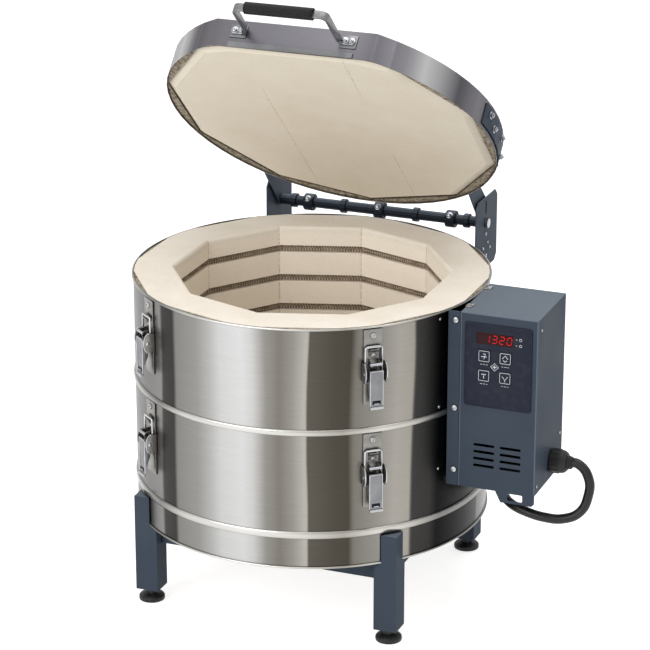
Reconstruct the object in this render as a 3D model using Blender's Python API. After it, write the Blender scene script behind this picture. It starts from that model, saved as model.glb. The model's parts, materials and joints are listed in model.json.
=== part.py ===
"""A ten-sided, top-loading ceramic kiln with its lid standing open.

Two rings of insulating firebrick in steel jackets stand on a firebrick floor and a tubular
stand. A hinge at the back carries the lid, a control case hangs on the right, and a supply
cord runs from the case to a coil behind the stand.

Metres, +Z up. The kiln's own axis is the empty named kiln_axis, which carries every piece.
The world origin is on the floor, at the middle of the kiln's footprint without its cord.
"""

import math

import bpy
import bmesh
from mathutils import Vector

# Fits that every piece shares
SEAT_GAP = 0.0003
CUT_OVERRUN = 0.004
WELD_DEPTH = 0.001
SMALL_ROUND = 12

# Chamber: ten-sided rings of firebrick, a corner of each at the front
SIDES = 10
FRONT_CORNER = 5
ROUND_SEGMENTS = 60
RING_HEIGHT = 0.2286
RING_NAMES = ("lower", "upper")
WALL_THICKNESS = 0.0902
BRICK_CORNER_FACETS = 1
SLAB_THICKNESS = 0.0762
BODY_BOTTOM = 0.185
BRICK_EDGE_ROUND = 0.007
BRICK_EDGE_STEPS = 3

# Element grooves, measured down from the top of their ring
GROOVES = 3
GROOVE_FIRST_DROP = 0.052
GROOVE_SPACING = 0.069
GROOVE_HEIGHT = 0.016
GROOVE_DEPTH = 0.016

# Heating elements: wire wound on an open helix, one in each groove
ELEMENT_WIRE = 0.0026
ELEMENT_RADIUS = 0.0052
ELEMENT_CURLS = 10
POINTS_PER_CURL = 8
ELEMENT_END_GAP = 0.050
LEAST_SELF_GAP = 0.0004

# Steel jackets with a rolled bead at each edge
JACKET_RADIUS = 0.384
JACKET_SHEET = 0.001
BEAD_REACH = 0.003
BEAD_HEIGHT = 0.0055
BEAD_SHOULDER_SHARE = 0.3

# Stand
LEG_SIZE = 0.0508
LEG_WALL = 0.002
LEG_CAP = 0.003
STAND_SIDE_INSET = 0.082
STAND_END_INSET = 0.104
LEG_RISE = 0.065
LEG_BOTTOM = 0.030
RAIL_HEIGHT = 0.048
RAIL_THICKNESS = 0.025

# Leveling feet
FOOT_RADIUS = 0.0285
FOOT_PAD = 0.011
FOOT_SOFTENING = 0.003
NUT_RADIUS = 0.0115
STEM_RADIUS = 0.006
STEM_REACH = 0.045

# Lid: the same ten sides, cut straight at the front for the handle
LID_THICKNESS = 0.0635
LID_INSET = 0.018
LID_FRONT_CUT = 0.046
LID_SEAT = 0.0015
LID_CHAMFER = 0.018
LID_CHAMFER_DEPTH = 0.010
LID_OPEN_DEGREES = 43.0
LIP_LENGTH = 0.276
LIP_HEIGHT = 0.012
LIP_THICKNESS = 0.003

# Handle: a bent steel strap with a ribbed grip
STRAP_WIDTH = 0.018
STRAP_THICKNESS = 0.005
HANDLE_SPAN = 0.205
HANDLE_STANDOFF = 0.105
HANDLE_FOOT = 0.034
HANDLE_BEND = 0.014
BEND_STEPS = 4
GRIP_LENGTH = 0.150
GRIP_RADIUS = 0.0130
GRIP_VALLEY_RADIUS = 0.0118
GRIP_BORE_RADIUS = 0.0098
GRIP_RIBS = 22
GRIP_SEGMENTS = 12

# Hinge: a rod through two lid arms and two side plates
HINGE_BEHIND_JACKET = 0.0347
HINGE_ABOVE_BODY = 0.0065
ROD_RADIUS = 0.006
ROD_HEAD_RADIUS = 0.011
ROD_HEAD_LENGTH = 0.007
TUBE_RADIUS = 0.0120
COLLAR_RADIUS = 0.0165
COLLAR_LENGTH = 0.012
COLLAR_SHARES = (-0.86, -0.36, 0.36, 0.86)
ARM_INSIDE = 0.2440
ARM_THICKNESS = 0.003
ARM_RISE = 0.008
ARM_HEIGHT = 0.048
ARM_EYE_RADIUS = 0.016
ARM_FIRST_FACET = -2
SIDE_PLATE_GAP = 0.0035
SIDE_PLATE_THICKNESS = 0.003
SIDE_PLATE_TOP = 0.060
SIDE_PLATE_DROP = 0.108
SIDE_PLATE_BACK = 0.080
SIDE_PLATE_FRONT = 0.066
SIDE_PLATE_NECK = 0.037
SIDE_PLATE_CORNER = 0.014
SIDE_PLATE_FLANGE_LOW = 0.100
SIDE_PLATE_FLANGE_HIGH = 0.056
SIDE_PLATE_FLANGE_DEGREES = 8.0
SIDE_PLATE_SLOT_LENGTH = 0.030
SIDE_PLATE_SLOT_WIDTH = 0.007
SIDE_PLATE_SLOT_RISE = 0.022

# Draw latches: one pair on each ring, either side of the front
LATCH_FROM_FRONT_DEGREES = 40.7
LATCH_LENGTH = 0.164
LATCH_WIDTH = 0.041
LATCH_SHEET = 0.0025
LATCH_DROP = 0.0065
CHEEK_RADIUS = 0.021
CHEEK_REACH = 0.025
CHEEK_SHEET = 0.003
CHEEK_CLEARANCE = 0.0008
CHEEK_ROOT = 0.018
LATCH_PIVOT_DROP = 0.0905
LATCH_PIVOT_REACH = 0.0165
LATCH_PIN_RADIUS = 0.0025
EAR_HALF_GAP = 0.0092
EAR_SHEET = 0.0022
EAR_RADIUS = 0.0048
LEVER_HALF_WIDTH = 0.0150
LEVER_SKIN = 0.0018
LEVER_FACE = 0.0245
LEVER_FACE_SHEET = 0.0025
LEVER_HEAD_TOP = 0.0085
LEVER_HEAD_BOTTOM = 0.0340
LEVER_LENGTH = 0.0850
LEVER_LIP = 0.0060
LEVER_BACK = 0.0100
BAIL_WIRE = 0.0040
BAIL_HALF_WIDTH = 0.0185
BAIL_TOP_DROP = 0.037
BAIL_BOTTOM_DROP = 0.1135
BAIL_CORNER = 0.003
HOOK_WIDTH = 0.020
HOOK_HEIGHT = 0.007

# Control case on the right, its panel facing the front
PANEL_Y = -0.140
PANEL_SHEET = 0.0015
PANEL_HEIGHT = 0.389
PANEL_TOP_DROP = 0.0014
TAB_WIDTH = 0.086
TAB_DROP = 0.024
TAB_HOLE_INSET = 0.026
TAB_HOLE_WIDTH = 0.033
TAB_HOLE_HEIGHT = 0.016
TAB_HOLE_RISE = 0.006
TAB_HOLE_CORNER = 0.003
CASE_WIDTH = 0.1678
CASE_SHEET = 0.0015
CASE_DEPTH = 0.188
CASE_CLEARANCE = 0.0012
VENT_INSET = 0.0895
VENT_SPACING = 0.058
VENT_COLUMNS = 2
VENT_WIDTH = 0.046
VENT_HEIGHT = 0.0065
VENT_PITCH = 0.0155
VENT_ROWS = 4
VENT_RISE = 0.102

# Keypad
KEYPAD_WIDTH = 0.146
KEYPAD_HEIGHT = 0.184
KEYPAD_SIDE_INSET = 0.012
KEYPAD_TOP_INSET = 0.019
KEYPAD_THICKNESS = 0.0014
KEYPAD_CORNER = 0.004
CORNER_STEPS = 3
DISPLAY_WIDTH = 0.0785
DISPLAY_HEIGHT = 0.024
DISPLAY_SIDE_INSET = 0.026
DISPLAY_TOP_INSET = 0.020
KEY_SIZE = 0.026
KEY_SIDE_INSET = 0.030
KEY_TOP_INSET = 0.058
KEY_SPACING = 0.046
KEY_ROW_SPACING = 0.043
KEY_ROWS = ("upper", "lower")
KEY_SIDES = ("left", "right")
KEY_PROUD = 0.0012
KEY_STEM = 0.003

# Inside the case, each part placed from the case's left wall and the panel's top
BOARD_STANDOFF = 0.018
BOARD_THICKNESS = 0.0016
BOARD_WIDTH = 0.125
BOARD_HEIGHT = 0.150
STANDOFF_RADIUS = 0.004
STANDOFF_INSET = 0.008
RELAY_SIZE = (0.052, 0.040, 0.060)
RELAY_BASE = (0.070, 0.005, 0.044)
RELAY_PLACE = (0.052, 0.117)
TRANSFORMER_CORE = (0.060, 0.036, 0.050)
TRANSFORMER_COIL = (0.036, 0.054, 0.034)
TRANSFORMER_PLACE = (0.127, 0.117)
TERMINAL_SIZE = (0.090, 0.024, 0.034)
TERMINAL_SLOT = 0.009
TERMINAL_SLOTS = 4
TERMINAL_PLACE = (0.082, 0.237)

# Thermocouple through the wall of the upper ring
PROBE_RADIUS = 0.004
PROBE_REACH = 0.045
PROBE_DROP = 0.087
PROBE_HEAD_RADIUS = 0.012
PROBE_HEAD_LENGTH = 0.020

# Cord gland on the case's right wall
GLAND_Y = -0.026
GLAND_RISE = 0.039
GLAND_NECK_RADIUS = 0.0150
GLAND_NUT_RADIUS = 0.0210
GLAND_NUT_LENGTH = 0.008
GLAND_FLANGE_RADIUS = 0.0240
GLAND_FLANGE_LENGTH = 0.016
GLAND_LENGTH = 0.038
GLAND_TIP_RADIUS = 0.0150

# Supply cord
CORD_RADIUS = 0.0105
CORD_STEP = 0.045
CORD_ROUTE = (
    (0.640, -0.027, 0.356),
    (0.660, -0.034, 0.322),
    (0.656, -0.040, 0.288),
    (0.634, -0.038, 0.263),
    (0.600, -0.022, 0.254),
    (0.550, 0.020, 0.258),
    (0.490, 0.080, 0.258),
    (0.430, 0.150, 0.248),
    (0.375, 0.225, 0.228),
    (0.315, 0.300, 0.195),
    (0.250, 0.350, 0.140),
    (0.185, 0.378, 0.080),
    (0.115, 0.388, 0.032),
    (0.050, 0.390, 0.0125),
    (-0.010, 0.390, 0.0110),
)
COIL_RADIUS = 0.135
COIL_CENTRE = (-0.060, 0.525)
COIL_TURNS = 1.25
COIL_PITCH = 0.0225
COIL_STEPS = 24
COIL_REST = 0.0110
COIL_CLIMB = 0.0300
COIL_CLIMB_TURNS = 0.30
PLUG_LENGTH = 0.062
PLUG_WIDTH = 0.050
PLUG_HEIGHT = 0.036
PLUG_NECK_LENGTH = 0.022
PLUG_NECK_RADIUS = 0.0140
PLUG_CORNER = 0.008
BLADE_LENGTH = 0.020
BLADE_WIDTH = 0.007
BLADE_THICKNESS = 0.002
BLADE_SPREAD = 0.013
GROUND_PIN_RADIUS = 0.0032

# Places that follow from the sizes above
SIDE_DEGREES = 360 / SIDES
FACET_DEGREES = 360 / ROUND_SEGMENTS
BODY_TOP = BODY_BOTTOM + SLAB_THICKNESS + len(RING_NAMES) * RING_HEIGHT
BRICK_REACH = JACKET_RADIUS - JACKET_SHEET - SEAT_GAP
BRICK_CORNER_DEGREES = BRICK_CORNER_FACETS * FACET_DEGREES
BRICK_FLAT = BRICK_REACH * math.cos(math.radians(SIDE_DEGREES / 2 - BRICK_CORNER_DEGREES))
CHAMBER_APOTHEM = BRICK_FLAT - WALL_THICKNESS
LID_RADIUS = JACKET_RADIUS - LID_INSET
LID_SLAB_APOTHEM = (BRICK_REACH - LID_INSET) * math.cos(math.pi / SIDES)
LID_FRONT_FLAT = LID_RADIUS - LID_FRONT_CUT
STAND_HALF_WIDTH = JACKET_RADIUS - STAND_SIDE_INSET
STAND_HALF_DEPTH = JACKET_RADIUS - STAND_END_INSET
LEG_TOP = BODY_BOTTOM + LEG_RISE
HINGE_Y = JACKET_RADIUS + HINGE_BEHIND_JACKET
HINGE_Z = BODY_TOP + HINGE_ABOVE_BODY
LID_BOTTOM = BODY_TOP + LID_SEAT
LID_TOP = LID_BOTTOM + LID_THICKNESS
ARM_OUTSIDE = ARM_INSIDE + ARM_THICKNESS
PLATE_INSIDE = ARM_OUTSIDE + SIDE_PLATE_GAP
PLATE_OUTSIDE = PLATE_INSIDE + SIDE_PLATE_THICKNESS
BORE_RADIUS = ROD_RADIUS + SEAT_GAP
PANEL_FRONT = PANEL_Y - PANEL_SHEET
PANEL_LEFT = math.sqrt((JACKET_RADIUS + BEAD_REACH) ** 2 - PANEL_Y ** 2) + SEAT_GAP
CASE_LEFT = JACKET_RADIUS + BEAD_REACH + CASE_CLEARANCE
PANEL_RIGHT = CASE_LEFT + CASE_WIDTH
PANEL_TOP = BODY_TOP - PANEL_TOP_DROP
PANEL_BOTTOM = PANEL_TOP - PANEL_HEIGHT
CASE_FRONT = PANEL_Y + SEAT_GAP
CASE_BACK = CASE_FRONT + CASE_DEPTH
KEYPAD_BACK = PANEL_FRONT - SEAT_GAP
KEYPAD_FRONT = KEYPAD_BACK - KEYPAD_THICKNESS
KEYPAD_RIGHT = PANEL_RIGHT - KEYPAD_SIDE_INSET
KEYPAD_LEFT = KEYPAD_RIGHT - KEYPAD_WIDTH
KEYPAD_TOP = PANEL_TOP - KEYPAD_TOP_INSET
KEYPAD_BOTTOM = KEYPAD_TOP - KEYPAD_HEIGHT
DISPLAY_LEFT = KEYPAD_LEFT + DISPLAY_SIDE_INSET
DISPLAY_TOP = KEYPAD_TOP - DISPLAY_TOP_INSET
GLAND_Z = PANEL_BOTTOM + GLAND_RISE
PROBE_Z = BODY_TOP - PROBE_DROP
GLAND_TIP = PANEL_RIGHT + GLAND_LENGTH
BODY_REACH = JACKET_RADIUS + BEAD_REACH
ORIGIN_X = (GLAND_TIP - BODY_REACH) / 2
ORIGIN_Y = (HINGE_Y + SIDE_PLATE_BACK - BODY_REACH) / 2


def clear_scene():
    """Remove whatever the file opened with."""
    for obj in list(bpy.data.objects):
        bpy.data.objects.remove(obj, do_unlink=True)


def finish(name, colour, roughness, metallic=0.0):
    """A plain Principled material, made once for each name."""
    if name in bpy.data.materials:
        return bpy.data.materials[name]
    made = bpy.data.materials.new(name)
    made.use_nodes = True
    shader = made.node_tree.nodes["Principled BSDF"]
    shader.inputs["Base Color"].default_value = (*colour, 1.0)
    shader.inputs["Roughness"].default_value = roughness
    shader.inputs["Metallic"].default_value = metallic
    return made


def firebrick():
    return finish("firebrick", (0.80, 0.71, 0.56), 0.95)


def stainless():
    return finish("stainless_sheet", (0.62, 0.61, 0.58), 0.28, 1.0)


def chrome():
    return finish("bright_steel", (0.75, 0.75, 0.75), 0.15, 1.0)


def blue_grey_paint():
    return finish("blue_grey_paint", (0.085, 0.105, 0.135), 0.45)


def dark_paint():
    return finish("dark_paint", (0.030, 0.036, 0.050), 0.40)


def black_rubber():
    return finish("black_rubber", (0.012, 0.012, 0.013), 0.60)


def element_wire():
    return finish("element_wire", (0.20, 0.15, 0.11), 0.70, 0.6)


def keypad_film():
    return finish("keypad_film", (0.015, 0.022, 0.045), 0.35)


def polar(radius, degrees):
    """A point of a plan, from its radius and its angle from +X."""
    turn = math.radians(degrees)
    return (radius * math.cos(turn), radius * math.sin(turn))


def circle(radius, segments, phase=0.0):
    """Points of a round outline."""
    return [polar(radius, phase + 360 * step / segments) for step in range(segments)]


def rectangle(left, low, right, high):
    """Corners of a rectangular outline."""
    return [(left, low), (right, low), (right, high), (left, high)]


def rounded_rectangle(left, low, right, high, radius, steps=CORNER_STEPS):
    """A rectangular outline with round corners."""
    centres = ((right - radius, high - radius, 0), (left + radius, high - radius, 90),
               (left + radius, low + radius, 180), (right - radius, low + radius, 270))
    points = []
    for across, up, start in centres:
        for step in range(steps + 1):
            along, rise = polar(radius, start + 90 * step / steps)
            points.append((across + along, up + rise))
    return points


def bent_path(corners, radius, steps=BEND_STEPS):
    """A path through the corners, each inner one bent to the radius."""
    path = [Vector(corners[0])]
    for before, corner, after in zip(corners, corners[1:], corners[2:]):
        corner = Vector(corner)
        inward = (Vector(before) - corner).normalized()
        outward = (Vector(after) - corner).normalized()
        half_turn = inward.angle(outward) / 2
        middle = corner + (inward + outward).normalized() * (radius / math.sin(half_turn))
        first = corner + inward * (radius / math.tan(half_turn)) - middle
        last = corner + outward * (radius / math.tan(half_turn)) - middle
        for step in range(steps + 1):
            path.append(middle + first.slerp(last, step / steps).normalized() * radius)
    path.append(Vector(corners[-1]))
    return path


def strap_outline(path, thickness):
    """The outline of a strap of even thickness along a flat path."""
    sides = ([], [])
    for index, point in enumerate(path):
        ahead = path[min(index + 1, len(path) - 1)] - path[max(index - 1, 0)]
        across = Vector((-ahead.y, ahead.x)).normalized() * (thickness / 2)
        sides[0].append(tuple(point + across))
        sides[1].append(tuple(point - across))
    return sides[0] + sides[1][::-1]


def loft(name, loops, closed=False):
    """A mesh through loops of points, capped at its ends unless it closes on itself."""
    build = bmesh.new()
    rows = [[build.verts.new(point) for point in loop] for loop in loops]
    pairs = list(zip(rows, rows[1:]))
    if closed:
        pairs.append((rows[-1], rows[0]))
    for row, following in pairs:
        for index in range(len(row)):
            after = (index + 1) % len(row)
            build.faces.new((row[index], row[after], following[after], following[index]))
    if not closed:
        build.faces.new(rows[0][::-1])
        build.faces.new(rows[-1])
    bmesh.ops.recalc_face_normals(build, faces=build.faces)
    mesh = bpy.data.meshes.new(name)
    build.to_mesh(mesh)
    build.free()
    return mesh


def prism(name, outline, low, high, along="Z"):
    """A flat outline pushed along an axis: its points are XY for Z, XZ for Y and YZ for X."""
    place = {
        "Z": lambda across, up, depth: (across, up, depth),
        "Y": lambda across, up, depth: (across, depth, up),
        "X": lambda across, up, depth: (depth, across, up),
    }[along]
    return loft(name, [[place(*point, depth) for point in outline] for depth in (low, high)])


def turned(name, profile, segments=SMALL_ROUND, along="Z", centre=(0.0, 0.0), phase=0.0):
    """A solid turned from pairs of radius and place along its axis."""
    loops = []
    for radius, depth in profile:
        ring = [(centre[0] + a, centre[1] + b) for a, b in circle(radius, segments, phase)]
        if along == "Z":
            loops.append([(a, b, depth) for a, b in ring])
        elif along == "Y":
            loops.append([(a, depth, b) for a, b in ring])
        else:
            loops.append([(depth, a, b) for a, b in ring])
    return loft(name, loops)


def turned_ring(name, profile, segments, along="Z", centre=(0.0, 0.0)):
    """A ring turned from a closed profile, which leaves its bore open."""
    loops = []
    for step in range(segments):
        across, up = polar(1, 360 * step / segments)
        if along == "Z":
            loops.append([(radius * across, radius * up, depth) for radius, depth in profile])
        else:
            loops.append([(depth, centre[0] + radius * across, centre[1] + radius * up)
                          for radius, depth in profile])
    return loft(name, loops, closed=True)


def block(name, low, high):
    """A rectangular solid between two corners."""
    return prism(name, rectangle(low[0], low[1], high[0], high[1]), low[2], high[2])


def shaped(mesh, others, operation):
    """The mesh after each other mesh has been cut from it or joined to it."""
    base = bpy.data.objects.new(mesh.name, mesh)
    bpy.context.scene.collection.objects.link(base)
    tools = []
    for other in others:
        tool = bpy.data.objects.new("tool", other)
        bpy.context.scene.collection.objects.link(tool)
        tool.hide_render = True
        tool.display_type = "WIRE"
        change = base.modifiers.new("shape", "BOOLEAN")
        change.operation = operation
        change.solver = "EXACT"
        change.object = tool
        tools.append(tool)
    graph = bpy.context.evaluated_depsgraph_get()
    result = bpy.data.meshes.new_from_object(base.evaluated_get(graph))
    result.name = mesh.name
    for used in (*tools, base):
        bpy.data.objects.remove(used, do_unlink=True)
    return result


def cut(mesh, *others):
    """The mesh with the others taken away."""
    return shaped(mesh, others, "DIFFERENCE")


def joined(mesh, *others):
    """The mesh and the others as one body."""
    return shaped(mesh, others, "UNION")


def add_empty(name, parent=None, location=(0.0, 0.0, 0.0), rotation=(0.0, 0.0, 0.0)):
    """An empty that carries pieces or marks a joint's axis."""
    empty = bpy.data.objects.new(name, None)
    bpy.context.scene.collection.objects.link(empty)
    empty.parent = parent
    empty.location = location
    empty.rotation_euler = rotation
    return empty


def add_piece(name, mesh, material, parent, location=(0.0, 0.0, 0.0), smooth=False):
    """One physical piece, in its own object."""
    piece = bpy.data.objects.new(name, mesh)
    bpy.context.scene.collection.objects.link(piece)
    piece.parent = parent
    piece.location = location
    mesh.materials.clear()
    mesh.materials.append(material)
    if smooth:
        mesh.shade_smooth()
        mesh.set_sharp_from_angle(angle=math.radians(35))
    return piece


def add_tube(name, points, radius, material, parent, resolution):
    """A round wire or cord along points, with closed ends."""
    data = bpy.data.curves.new(name, "CURVE")
    data.dimensions = "3D"
    data.bevel_depth = radius
    data.bevel_resolution = resolution
    data.use_fill_caps = True
    spline = data.splines.new("POLY")
    spline.points.add(len(points) - 1)
    for spot, point in zip(spline.points, points):
        spot.co = (*point, 1.0)
    data.materials.append(material)
    piece = bpy.data.objects.new(name, data)
    bpy.context.scene.collection.objects.link(piece)
    piece.parent = parent
    return piece


def least_gap(points, diameter, apart):
    """The smallest clear distance between stretches of a tube that lie apart along it."""
    spots = [Vector(point) for point in points]
    nearest = math.inf
    for index, spot in enumerate(spots):
        for other in spots[index + apart:]:
            nearest = min(nearest, (spot - other).length)
    return nearest - diameter


def lid_plan(apothem, front_flat):
    """Corners of a ten-sided plan with its front corner cut straight."""
    reach = apothem / math.cos(math.pi / SIDES)
    corners = [polar(reach, 90 + SIDE_DEGREES * side) for side in range(SIDES)]
    front = corners[FRONT_CORNER]
    trimmed = []
    for beside in (corners[FRONT_CORNER - 1], corners[FRONT_CORNER + 1]):
        share = (-front_flat - front[1]) / (beside[1] - front[1])
        trimmed.append((front[0] + share * (beside[0] - front[0]), -front_flat))
    return corners[:FRONT_CORNER] + trimmed + corners[FRONT_CORNER + 1:]


def ring_level(ring):
    """Height of a ring's lower edge."""
    return BODY_BOTTOM + SLAB_THICKNESS + ring * RING_HEIGHT


def brick_plan():
    """Directions of the corners of a brick ring, each with its angle from its side's middle."""
    near = SIDE_DEGREES / 2 - BRICK_CORNER_DEGREES
    for side in range(SIDES):
        for offset in (-near, near, SIDE_DEGREES / 2):
            yield SIDE_DEGREES * side + offset, offset


def brick_reach(offset):
    """How far the bricks reach out, at an angle from the middle of a side."""
    return min(BRICK_REACH, BRICK_FLAT / math.cos(math.radians(offset)))


def brick_profile(low, high):
    """Inner face of a brick ring from its top, as distance from the axis to the flat, and height."""
    profile = []
    for step in range(BRICK_EDGE_STEPS + 1):
        inward, up = polar(BRICK_EDGE_ROUND, 90 + 90 * step / BRICK_EDGE_STEPS)
        profile.append((CHAMBER_APOTHEM + BRICK_EDGE_ROUND + inward,
                        high - BRICK_EDGE_ROUND + up))
    deep = CHAMBER_APOTHEM + GROOVE_DEPTH
    for middle in groove_levels(high):
        upper = middle + GROOVE_HEIGHT / 2
        lower = middle - GROOVE_HEIGHT / 2
        profile += [(CHAMBER_APOTHEM, upper), (deep, upper), (deep, lower),
                    (CHAMBER_APOTHEM, lower)]
    profile.append((CHAMBER_APOTHEM, low))
    return profile


def groove_levels(ring_top):
    """Heights of the middles of a ring's grooves."""
    return [ring_top - GROOVE_FIRST_DROP - GROOVE_SPACING * count for count in range(GROOVES)]


def probe_hole(radius):
    """Cutter for a hole that the thermocouple passes through."""
    return turned("hole", [(radius, 0.0), (radius, PANEL_RIGHT)], along="X",
                  centre=(0.0, PROBE_Z))


def add_chamber(kiln):
    """Brick rings, floor slab and their steel jackets."""
    for ring, name in enumerate(RING_NAMES):
        low = ring_level(ring) + SEAT_GAP
        high = ring_level(ring + 1)
        profile = brick_profile(low, high)
        loops = []
        for turn, offset in brick_plan():
            outside = [(*polar(brick_reach(offset), turn), up) for up in (low, high)]
            across = math.cos(math.radians(offset))
            loops.append(outside + [(*polar(flat / across, turn), up) for flat, up in profile])
        bricks = loft(f"{name}_brick_ring", loops, closed=True)
        jacket = turned_ring(f"{name}_jacket", jacket_profile(low, high), ROUND_SEGMENTS)
        if low < PROBE_Z < high:
            bricks = cut(bricks, probe_hole(PROBE_RADIUS + SEAT_GAP))
            jacket = cut(jacket, probe_hole(PROBE_RADIUS + SEAT_GAP))
        add_piece(f"{name}_brick_ring", bricks, firebrick(), kiln)
        add_piece(f"{name}_jacket", jacket, stainless(), kiln, smooth=True)
        add_elements(kiln, name, high)
    low = BODY_BOTTOM + SEAT_GAP
    high = BODY_BOTTOM + SLAB_THICKNESS
    plan = [polar(brick_reach(offset), turn) for turn, offset in brick_plan()]
    slab = prism("floor_slab", plan, low, high)
    add_piece("floor_slab", slab, firebrick(), kiln)
    band = turned_ring("floor_band", jacket_profile(low, high), ROUND_SEGMENTS)
    add_piece("floor_band", band, stainless(), kiln, smooth=True)


def jacket_profile(low, high):
    """Section of a jacket: thin sheet with a rolled bead at each edge."""
    inside = JACKET_RADIUS - JACKET_SHEET
    crest = JACKET_RADIUS + BEAD_REACH
    shoulder = BEAD_HEIGHT * BEAD_SHOULDER_SHARE
    return [
        (inside, low),
        (JACKET_RADIUS, low),
        (crest, low + shoulder),
        (crest, low + BEAD_HEIGHT - shoulder),
        (JACKET_RADIUS, low + BEAD_HEIGHT),
        (JACKET_RADIUS, high - BEAD_HEIGHT),
        (crest, high - BEAD_HEIGHT + shoulder),
        (crest, high - shoulder),
        (JACKET_RADIUS, high),
        (inside, high),
    ]


def groove_path(distance):
    """A point on the middle line of a groove, a distance along it from the right."""
    apothem = CHAMBER_APOTHEM + GROOVE_DEPTH / 2
    side_length = 2 * apothem * math.tan(math.pi / SIDES)
    side = math.floor(distance / side_length + 1 / 2)
    along = distance - side * side_length
    out = Vector(polar(apothem, SIDE_DEGREES * side))
    ahead = Vector(polar(along, SIDE_DEGREES * side + 90))
    return out + ahead, out.normalized(), SIDES * side_length


def add_elements(kiln, ring_name, ring_top):
    """One wound heating element in each groove of a ring."""
    length = groove_path(0.0)[2] - 2 * ELEMENT_END_GAP
    steps = ELEMENT_CURLS * POINTS_PER_CURL
    for number, level in enumerate(groove_levels(ring_top), start=1):
        floor = level - GROOVE_HEIGHT / 2
        middle = floor + SEAT_GAP + ELEMENT_RADIUS + ELEMENT_WIRE / 2
        points = []
        for step in range(steps + 1):
            spot, outward, _ = groove_path(ELEMENT_END_GAP + length * step / steps)
            swing, rise = polar(ELEMENT_RADIUS, 360 * step / POINTS_PER_CURL)
            points.append((*(spot + outward * swing), middle + rise))
        gap = least_gap(points, ELEMENT_WIRE, POINTS_PER_CURL // 2)
        print(f"{ring_name} element {number}: least gap to itself {gap * 1000:.1f} mm")
        add_tube(f"{ring_name}_element_{number}", points, ELEMENT_WIRE / 2, element_wire(),
                 kiln, 1)


def add_stand(kiln):
    """Two welded side frames, two cross rails and four leveling feet."""
    inner_x = STAND_HALF_WIDTH - LEG_SIZE
    inner_y = STAND_HALF_DEPTH - LEG_SIZE
    notch = turned("notch", [(BODY_REACH + SEAT_GAP, BODY_BOTTOM),
                             (BODY_REACH + SEAT_GAP, LEG_TOP + CUT_OVERRUN)], ROUND_SEGMENTS)
    for side, side_name in ((-1, "left"), (1, "right")):
        legs = []
        hollows = []
        for end, end_name in ((-1, "front"), (1, "back")):
            legs.append(leg_block(side * STAND_HALF_WIDTH, end * STAND_HALF_DEPTH,
                                  side * inner_x, end * inner_y))
            hollows += leg_hollows(side, end)
            add_foot(kiln, f"leveling_foot_{end_name}_{side_name}",
                     side * (STAND_HALF_WIDTH - LEG_SIZE / 2),
                     end * (STAND_HALF_DEPTH - LEG_SIZE / 2))
        rail_x = sorted((side * inner_x, side * (inner_x + RAIL_THICKNESS)))
        rail = block("rail", (rail_x[0], -inner_y - WELD_DEPTH, BODY_BOTTOM - RAIL_HEIGHT),
                     (rail_x[1], inner_y + WELD_DEPTH, BODY_BOTTOM))
        frame = cut(joined(rail, *legs), *hollows, notch)
        frame.name = f"stand_frame_{side_name}"
        add_piece(f"stand_frame_{side_name}", frame, blue_grey_paint(), kiln)
    for end, end_name in ((-1, "front"), (1, "back")):
        rail_y = sorted((end * inner_y, end * (inner_y + RAIL_THICKNESS)))
        rail = block("rail", (-inner_x + SEAT_GAP, rail_y[0], BODY_BOTTOM - RAIL_HEIGHT),
                     (inner_x - SEAT_GAP, rail_y[1], BODY_BOTTOM))
        add_piece(f"stand_rail_{end_name}", rail, blue_grey_paint(), kiln)


def leg_block(outer_x, outer_y, inner_x, inner_y):
    """The outside of one square leg."""
    across = sorted((outer_x, inner_x))
    along = sorted((outer_y, inner_y))
    return block("leg", (across[0], along[0], LEG_BOTTOM), (across[1], along[1], LEG_TOP))


def leg_hollows(side, end):
    """Cutters for a leg's hollow and for the stem of its foot."""
    middle_x = side * (STAND_HALF_WIDTH - LEG_SIZE / 2)
    middle_y = end * (STAND_HALF_DEPTH - LEG_SIZE / 2)
    half = LEG_SIZE / 2 - LEG_WALL
    hollow = block("hollow", (middle_x - half, middle_y - half, LEG_BOTTOM + LEG_CAP),
                   (middle_x + half, middle_y + half, BODY_BOTTOM - LEG_CAP))
    stem = turned("stem_hole", [(STEM_RADIUS + SEAT_GAP, LEG_BOTTOM - CUT_OVERRUN),
                                (STEM_RADIUS + SEAT_GAP, LEG_BOTTOM + LEG_CAP + CUT_OVERRUN)],
                  centre=(middle_x, middle_y))
    return [hollow, stem]


def add_foot(kiln, name, x, y):
    """A leveling foot: a pad, its nut and a stem that screws up into the leg."""
    profile = [
        (FOOT_RADIUS - FOOT_SOFTENING, 0.0),
        (FOOT_RADIUS, FOOT_SOFTENING),
        (FOOT_RADIUS, FOOT_PAD),
        (NUT_RADIUS, FOOT_PAD + FOOT_SOFTENING),
        (NUT_RADIUS, LEG_BOTTOM - SEAT_GAP),
        (STEM_RADIUS, LEG_BOTTOM - SEAT_GAP),
        (STEM_RADIUS, LEG_BOTTOM + STEM_REACH),
    ]
    add_piece(name, turned(name, profile, SMALL_ROUND), black_rubber(), kiln, (x, y, 0.0))


def band_outline(radius, flat):
    """Plan of the lid band: round, with a straight front."""
    limit = math.degrees(math.asin(LID_FRONT_FLAT / LID_RADIUS))
    quarter = ROUND_SEGMENTS // 4
    turns = [FACET_DEGREES * count for count in range(-quarter, 3 * quarter)]
    kept = [turn for turn in turns if -limit < turn < 180 + limit]
    end = math.degrees(math.asin(flat / radius))
    return [polar(radius, turn) for turn in (-end, *kept, 180 + end)]


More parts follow.
